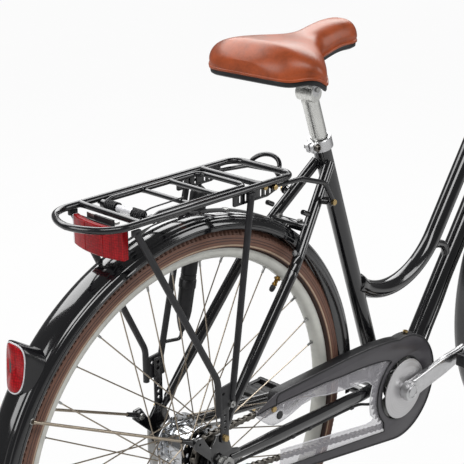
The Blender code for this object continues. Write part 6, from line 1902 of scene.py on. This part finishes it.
def make_cables():
    path = [beside_down_tube(x) for x in (835, 790, 744, 702, 668)]
    path += [point(641, -20.6, 46), point(612, -20.6, 4), point(575, -24, -42), point(530, -20, -84),
        point(475, -18, -94), point(425, -24, -82), point(375, -37, -59.5), point(330, -41, -52.5),
        point(250, -49, -43), point(140, -59, -30.5), point(70, -63, -21), point(30, -58.5, -23)]
    parts = [paint(tube(soft_path(path, 9), 2.5, 12), black_rubber)]
    for x, y, z in ((352, -39.4, -39.5), (225, -51.3, -23.6), (178, -55.6, -18.2)):
        parts.append(paint(block(point(x - 4, y - 3, z - 19), point(x + 4, y + 3, z - 12), 1),
            moulded_black))
    finish(parts, "gear_cable_run", "frame", ["gear_cable"])
    tip = grip_line(-1)[0]
    pivot, way, out, down = lever_frame()
    below = (out * 1.8 + down).normalized()
    leave = tip + way * 125.3 + below * 23.5
    joint = beside_down_tube(835)
    path = [leave, tip + way * 144.3 + out * 23 + down * 22, tip + way * 178.3 + out * 25 + down * 44,
        on_steer(BAR_T - 60, 92, -96), on_steer(BAR_T - 130, 76, -64), on_steer(HEAD_LOW + 150, 42, -48),
        on_steer(HEAD_LOW + 90, 16, -34), joint + TWIN_DIR * 56, joint + TWIN_DIR * 0.5]
    finish([paint(tube(soft_path(path, 8), 2.5, 12), black_rubber)], "gear_cable_bend", "frame",
        ["gear_cable_loop"])
    start = pivot + way * 10.6
    noodle = on_steer(BRAKE_T, -19, -BRAKE_Y) + STEER_DIR * 107.5
    path = [start, start + way * 14, start + way * 64 + point(0, 16, -4), on_steer(BAR_T - 40, 74, -110),
        on_steer(BAR_T - 150, 66, -84), on_steer(HEAD_LOW + 50, 40, -68), on_steer(HEAD_LOW + 6, 12, -66),
        noodle + STEER_DIR * 14 - LEFT * 2, noodle]
    line = soft_path(path, 8)
    radii = [1.45] * 5 + [1] * (len(line) - 5)
    finish([paint(tube(line, 2.5, 12, radii=radii), black_rubber)], "brake_cable_run", "steering",
        ["brake_cable"])


# Stage

CAMERA_PLACE = (-1.6363, -1.1442, 1.2699)
CAMERA_ANGLES = (-45.91, 19.304, -0.421)


def straight_rays(tree):
    """Two sockets: 1 for a ray that looks straight or through a clear sheet, 1 for a reflected one."""
    path = add(tree, "LightPath")
    seen = add(tree, "Math", {0: path.outputs["Is Camera Ray"], 1: path.outputs["Is Transmission Ray"]},
        operation="MAXIMUM")
    return seen.outputs[0], path.outputs["Is Glossy Ray"]


def floor_paper():
    # Matt white paper: seen straight it is the picture's white, and it keeps a soft shadow.
    made, tree, where = started("floor_paper")
    colour, _ = mottled(tree, where, hex_rgba("#B8B8B8"), hex_rgba("#C0C0C0"), 400)
    matt = add(tree, "BsdfDiffuse", {"Color": colour})
    light = add(tree, "Emission", {"Color": (1, 1, 1, 1), "Strength": 1})
    seen, _ = straight_rays(tree)
    share = add(tree, "Math", {0: seen, 1: 0.95}, operation="MULTIPLY")
    shader = add(tree, "MixShader", {0: share.outputs[0], 1: matt.outputs[0], 2: light.outputs[0]})
    return made, shader


def make_camera():
    data = bpy.data.cameras.new("photo_view")
    data.lens = 90
    data.sensor_width = 36
    camera = bpy.data.objects.new("photo_view", data)
    bpy.context.scene.collection.objects.link(camera)
    azimuth, elevation, roll = (math.radians(a) for a in CAMERA_ANGLES)
    back = Vector((math.sin(azimuth) * math.cos(elevation), -math.cos(azimuth) * math.cos(elevation),
        math.sin(elevation)))
    right = Vector((math.cos(azimuth), math.sin(azimuth), 0))
    up = back.cross(right)
    x = right * math.cos(roll) + up * math.sin(roll)
    y = up * math.cos(roll) - right * math.sin(roll)
    turn = Matrix((x, y, back)).transposed().to_4x4()
    camera.matrix_world = Matrix.Translation(CAMERA_PLACE) @ turn
    bpy.context.scene.camera = camera


def make_stage():
    scene = bpy.context.scene
    scene.view_settings.view_transform = "Standard"
    room = scene.bicycle_stage
    deselect()
    bpy.ops.mesh.primitive_plane_add(size=room.floor_size, location=(0, 0, 0))
    floor = bpy.context.object
    floor.name = "floor"
    paint(floor, floor_paper)
    world = bpy.data.worlds.new("studio")
    scene.world = world
    world.use_nodes = True
    tree = world.node_tree
    tree.nodes.clear()
    seen, glossy = straight_rays(tree)
    dim = add(tree, "MapRange", {"Value": glossy, "To Min": 0.6, "To Max": 0.14})
    strength = add(tree, "Mix", {"Factor": seen, "A": dim.outputs[0], "B": 1}, data_type="FLOAT")
    air = add(tree, "Background", {"Color": (1, 1, 1, 1), "Strength": strength.outputs["Result"]})
    add(tree, "OutputWorld", {"Surface": air.outputs[0]})
    for name, place, target, width, height, power in (("key", (-1.2, -1.6, 3), (-0.3, 0, 0.6), 2.6, 0.9,
            0.75), ("beyond", (1.7, 1.5, 2.5), (-0.3, 0, 0.8), 2.6, 1.6, 0.9),
            ("far", (-0.45, 1.9, 2.47), (-0.6, 0, 0.7), 2, 1.3, 0.6),
            ("side", (-2.9, 0.5, 1.9), (-0.8, 0, 0.5), 1.4, 1.6, 0.5),
            ("front", (1.9, -2.6, 1.7), (-0.2, 0, 0.5), 0.9, 2, 0.4)):
        data = bpy.data.lights.new(name, "AREA")
        data.shape = "RECTANGLE"
        data.size = width
        data.size_y = height
        data.energy = room.key_power * power
        lamp = bpy.data.objects.new(name, data)
        scene.collection.objects.link(lamp)
        lamp.location = place
        way = Vector(target) - Vector(place)
        lamp.rotation_euler = way.to_track_quat("-Z", "Y").to_euler()


# Add-on

class BicyclePiece:
    """What every piece's operator shares."""

    bl_options = {"REGISTER", "UNDO"}
    makers = ()

    def execute(self, context):
        for make in self.makers:
            make()
        return {"FINISHED"}


class BICYCLE_OT_saddle(BicyclePiece, bpy.types.Operator):
    """Build the saddle, its rails and clamp, the seat post and its collar"""

    bl_idname = "bicycle.saddle"
    bl_label = "Saddle and post"
    makers = (make_saddle, make_saddle_clamp, make_seat_post)


class BICYCLE_OT_frame(BicyclePiece, bpy.types.Operator):
    """Build the frame's main tubes and its rear triangle"""

    bl_idname = "bicycle.frame"
    bl_label = "Frame"
    makers = (make_main_tubes, make_rear_triangle)


class BICYCLE_OT_rear_wheel(BicyclePiece, bpy.types.Operator):
    """Build the rear tyre, rim, laced hub, valve and axle"""

    bl_idname = "bicycle.rear_wheel"
    bl_label = "Rear wheel"
    makers = (make_rear_wheel, make_axle_set)


class BICYCLE_OT_front_wheel(BicyclePiece, bpy.types.Operator):
    """Build the front tyre, rim, laced hub and axle"""

    bl_idname = "bicycle.front_wheel"
    bl_label = "Front wheel"
    makers = (make_front_wheel,)


class BICYCLE_OT_mudguards(BicyclePiece, bpy.types.Operator):
    """Build both mudguards, their rods and the tail lamp"""

    bl_idname = "bicycle.mudguards"
    bl_label = "Mudguards and lamp"
    makers = (make_rear_mudguard, make_front_mudguard, make_tail_lamp)


class BICYCLE_OT_carrier(BicyclePiece, bpy.types.Operator):
    """Build the carrier, its sprung clip, legs, pump and reflector"""

    bl_idname = "bicycle.carrier"
    bl_label = "Carrier"
    makers = (make_rack, make_flap, make_legs, make_pump, make_reflector)


class BICYCLE_OT_drive(BicyclePiece, bpy.types.Operator):
    """Build the chain, cranks, pedals and the chain case"""

    bl_idname = "bicycle.drive"
    bl_label = "Drive and case"
    makers = (make_chain, make_cranks, make_pedals, make_case)


class BICYCLE_OT_stand(BicyclePiece, bpy.types.Operator):
    """Build the rear stand"""

    bl_idname = "bicycle.stand"
    bl_label = "Stand"
    makers = (make_stand,)


class BICYCLE_OT_front_end(BicyclePiece, bpy.types.Operator):
    """Build the fork, brakes, handlebar, grips, levers and cables"""

    bl_idname = "bicycle.front_end"
    bl_label = "Front end"
    makers = (make_fork, make_brakes, make_cockpit, make_cables)


class BICYCLE_OT_stage(BicyclePiece, bpy.types.Operator):
    """Build the floor, the lamps and the camera"""

    bl_idname = "bicycle.stage"
    bl_label = "Stage"
    makers = (make_stage, make_camera)


PIECES = (BICYCLE_OT_saddle, BICYCLE_OT_frame, BICYCLE_OT_rear_wheel, BICYCLE_OT_front_wheel,
    BICYCLE_OT_mudguards, BICYCLE_OT_carrier, BICYCLE_OT_drive, BICYCLE_OT_stand, BICYCLE_OT_front_end,
    BICYCLE_OT_stage)


class BICYCLE_PT_pieces(bpy.types.Panel):
    """Lists the bicycle's pieces, sizes and colours"""

    bl_idname = "BICYCLE_PT_pieces"
    bl_label = "City bicycle"
    bl_space_type = "VIEW_3D"
    bl_region_type = "UI"
    bl_category = "Bicycle"

    def draw(self, context):
        for piece in PIECES:
            self.layout.operator(piece.bl_idname)
        for group in GROUPS:
            box = self.layout.box()
            held = getattr(context.scene, group)
            for name in GROUPS[group].__annotations__:
                box.prop(held, name)


GROUPS = {"bicycle_sizes": BicycleSizes, "bicycle_wheels": WheelSizes, "bicycle_colours": BicycleColours,
    "bicycle_stage": StageSizes}


def register():
    for name, group in GROUPS.items():
        bpy.utils.register_class(group)
        setattr(bpy.types.Scene, name, PointerProperty(type=group))
    for piece in PIECES:
        bpy.utils.register_class(piece)
    bpy.utils.register_class(BICYCLE_PT_pieces)


def unregister():
    bpy.utils.unregister_class(BICYCLE_PT_pieces)
    for piece in reversed(PIECES):
        bpy.utils.unregister_class(piece)
    for name, group in GROUPS.items():
        delattr(bpy.types.Scene, name)
        bpy.utils.unregister_class(group)


def main():
    register()
    for piece in PIECES:
        family, name = piece.bl_idname.split(".")
        getattr(getattr(bpy.ops, family), name)()


if __name__ == "__main__":
    main()
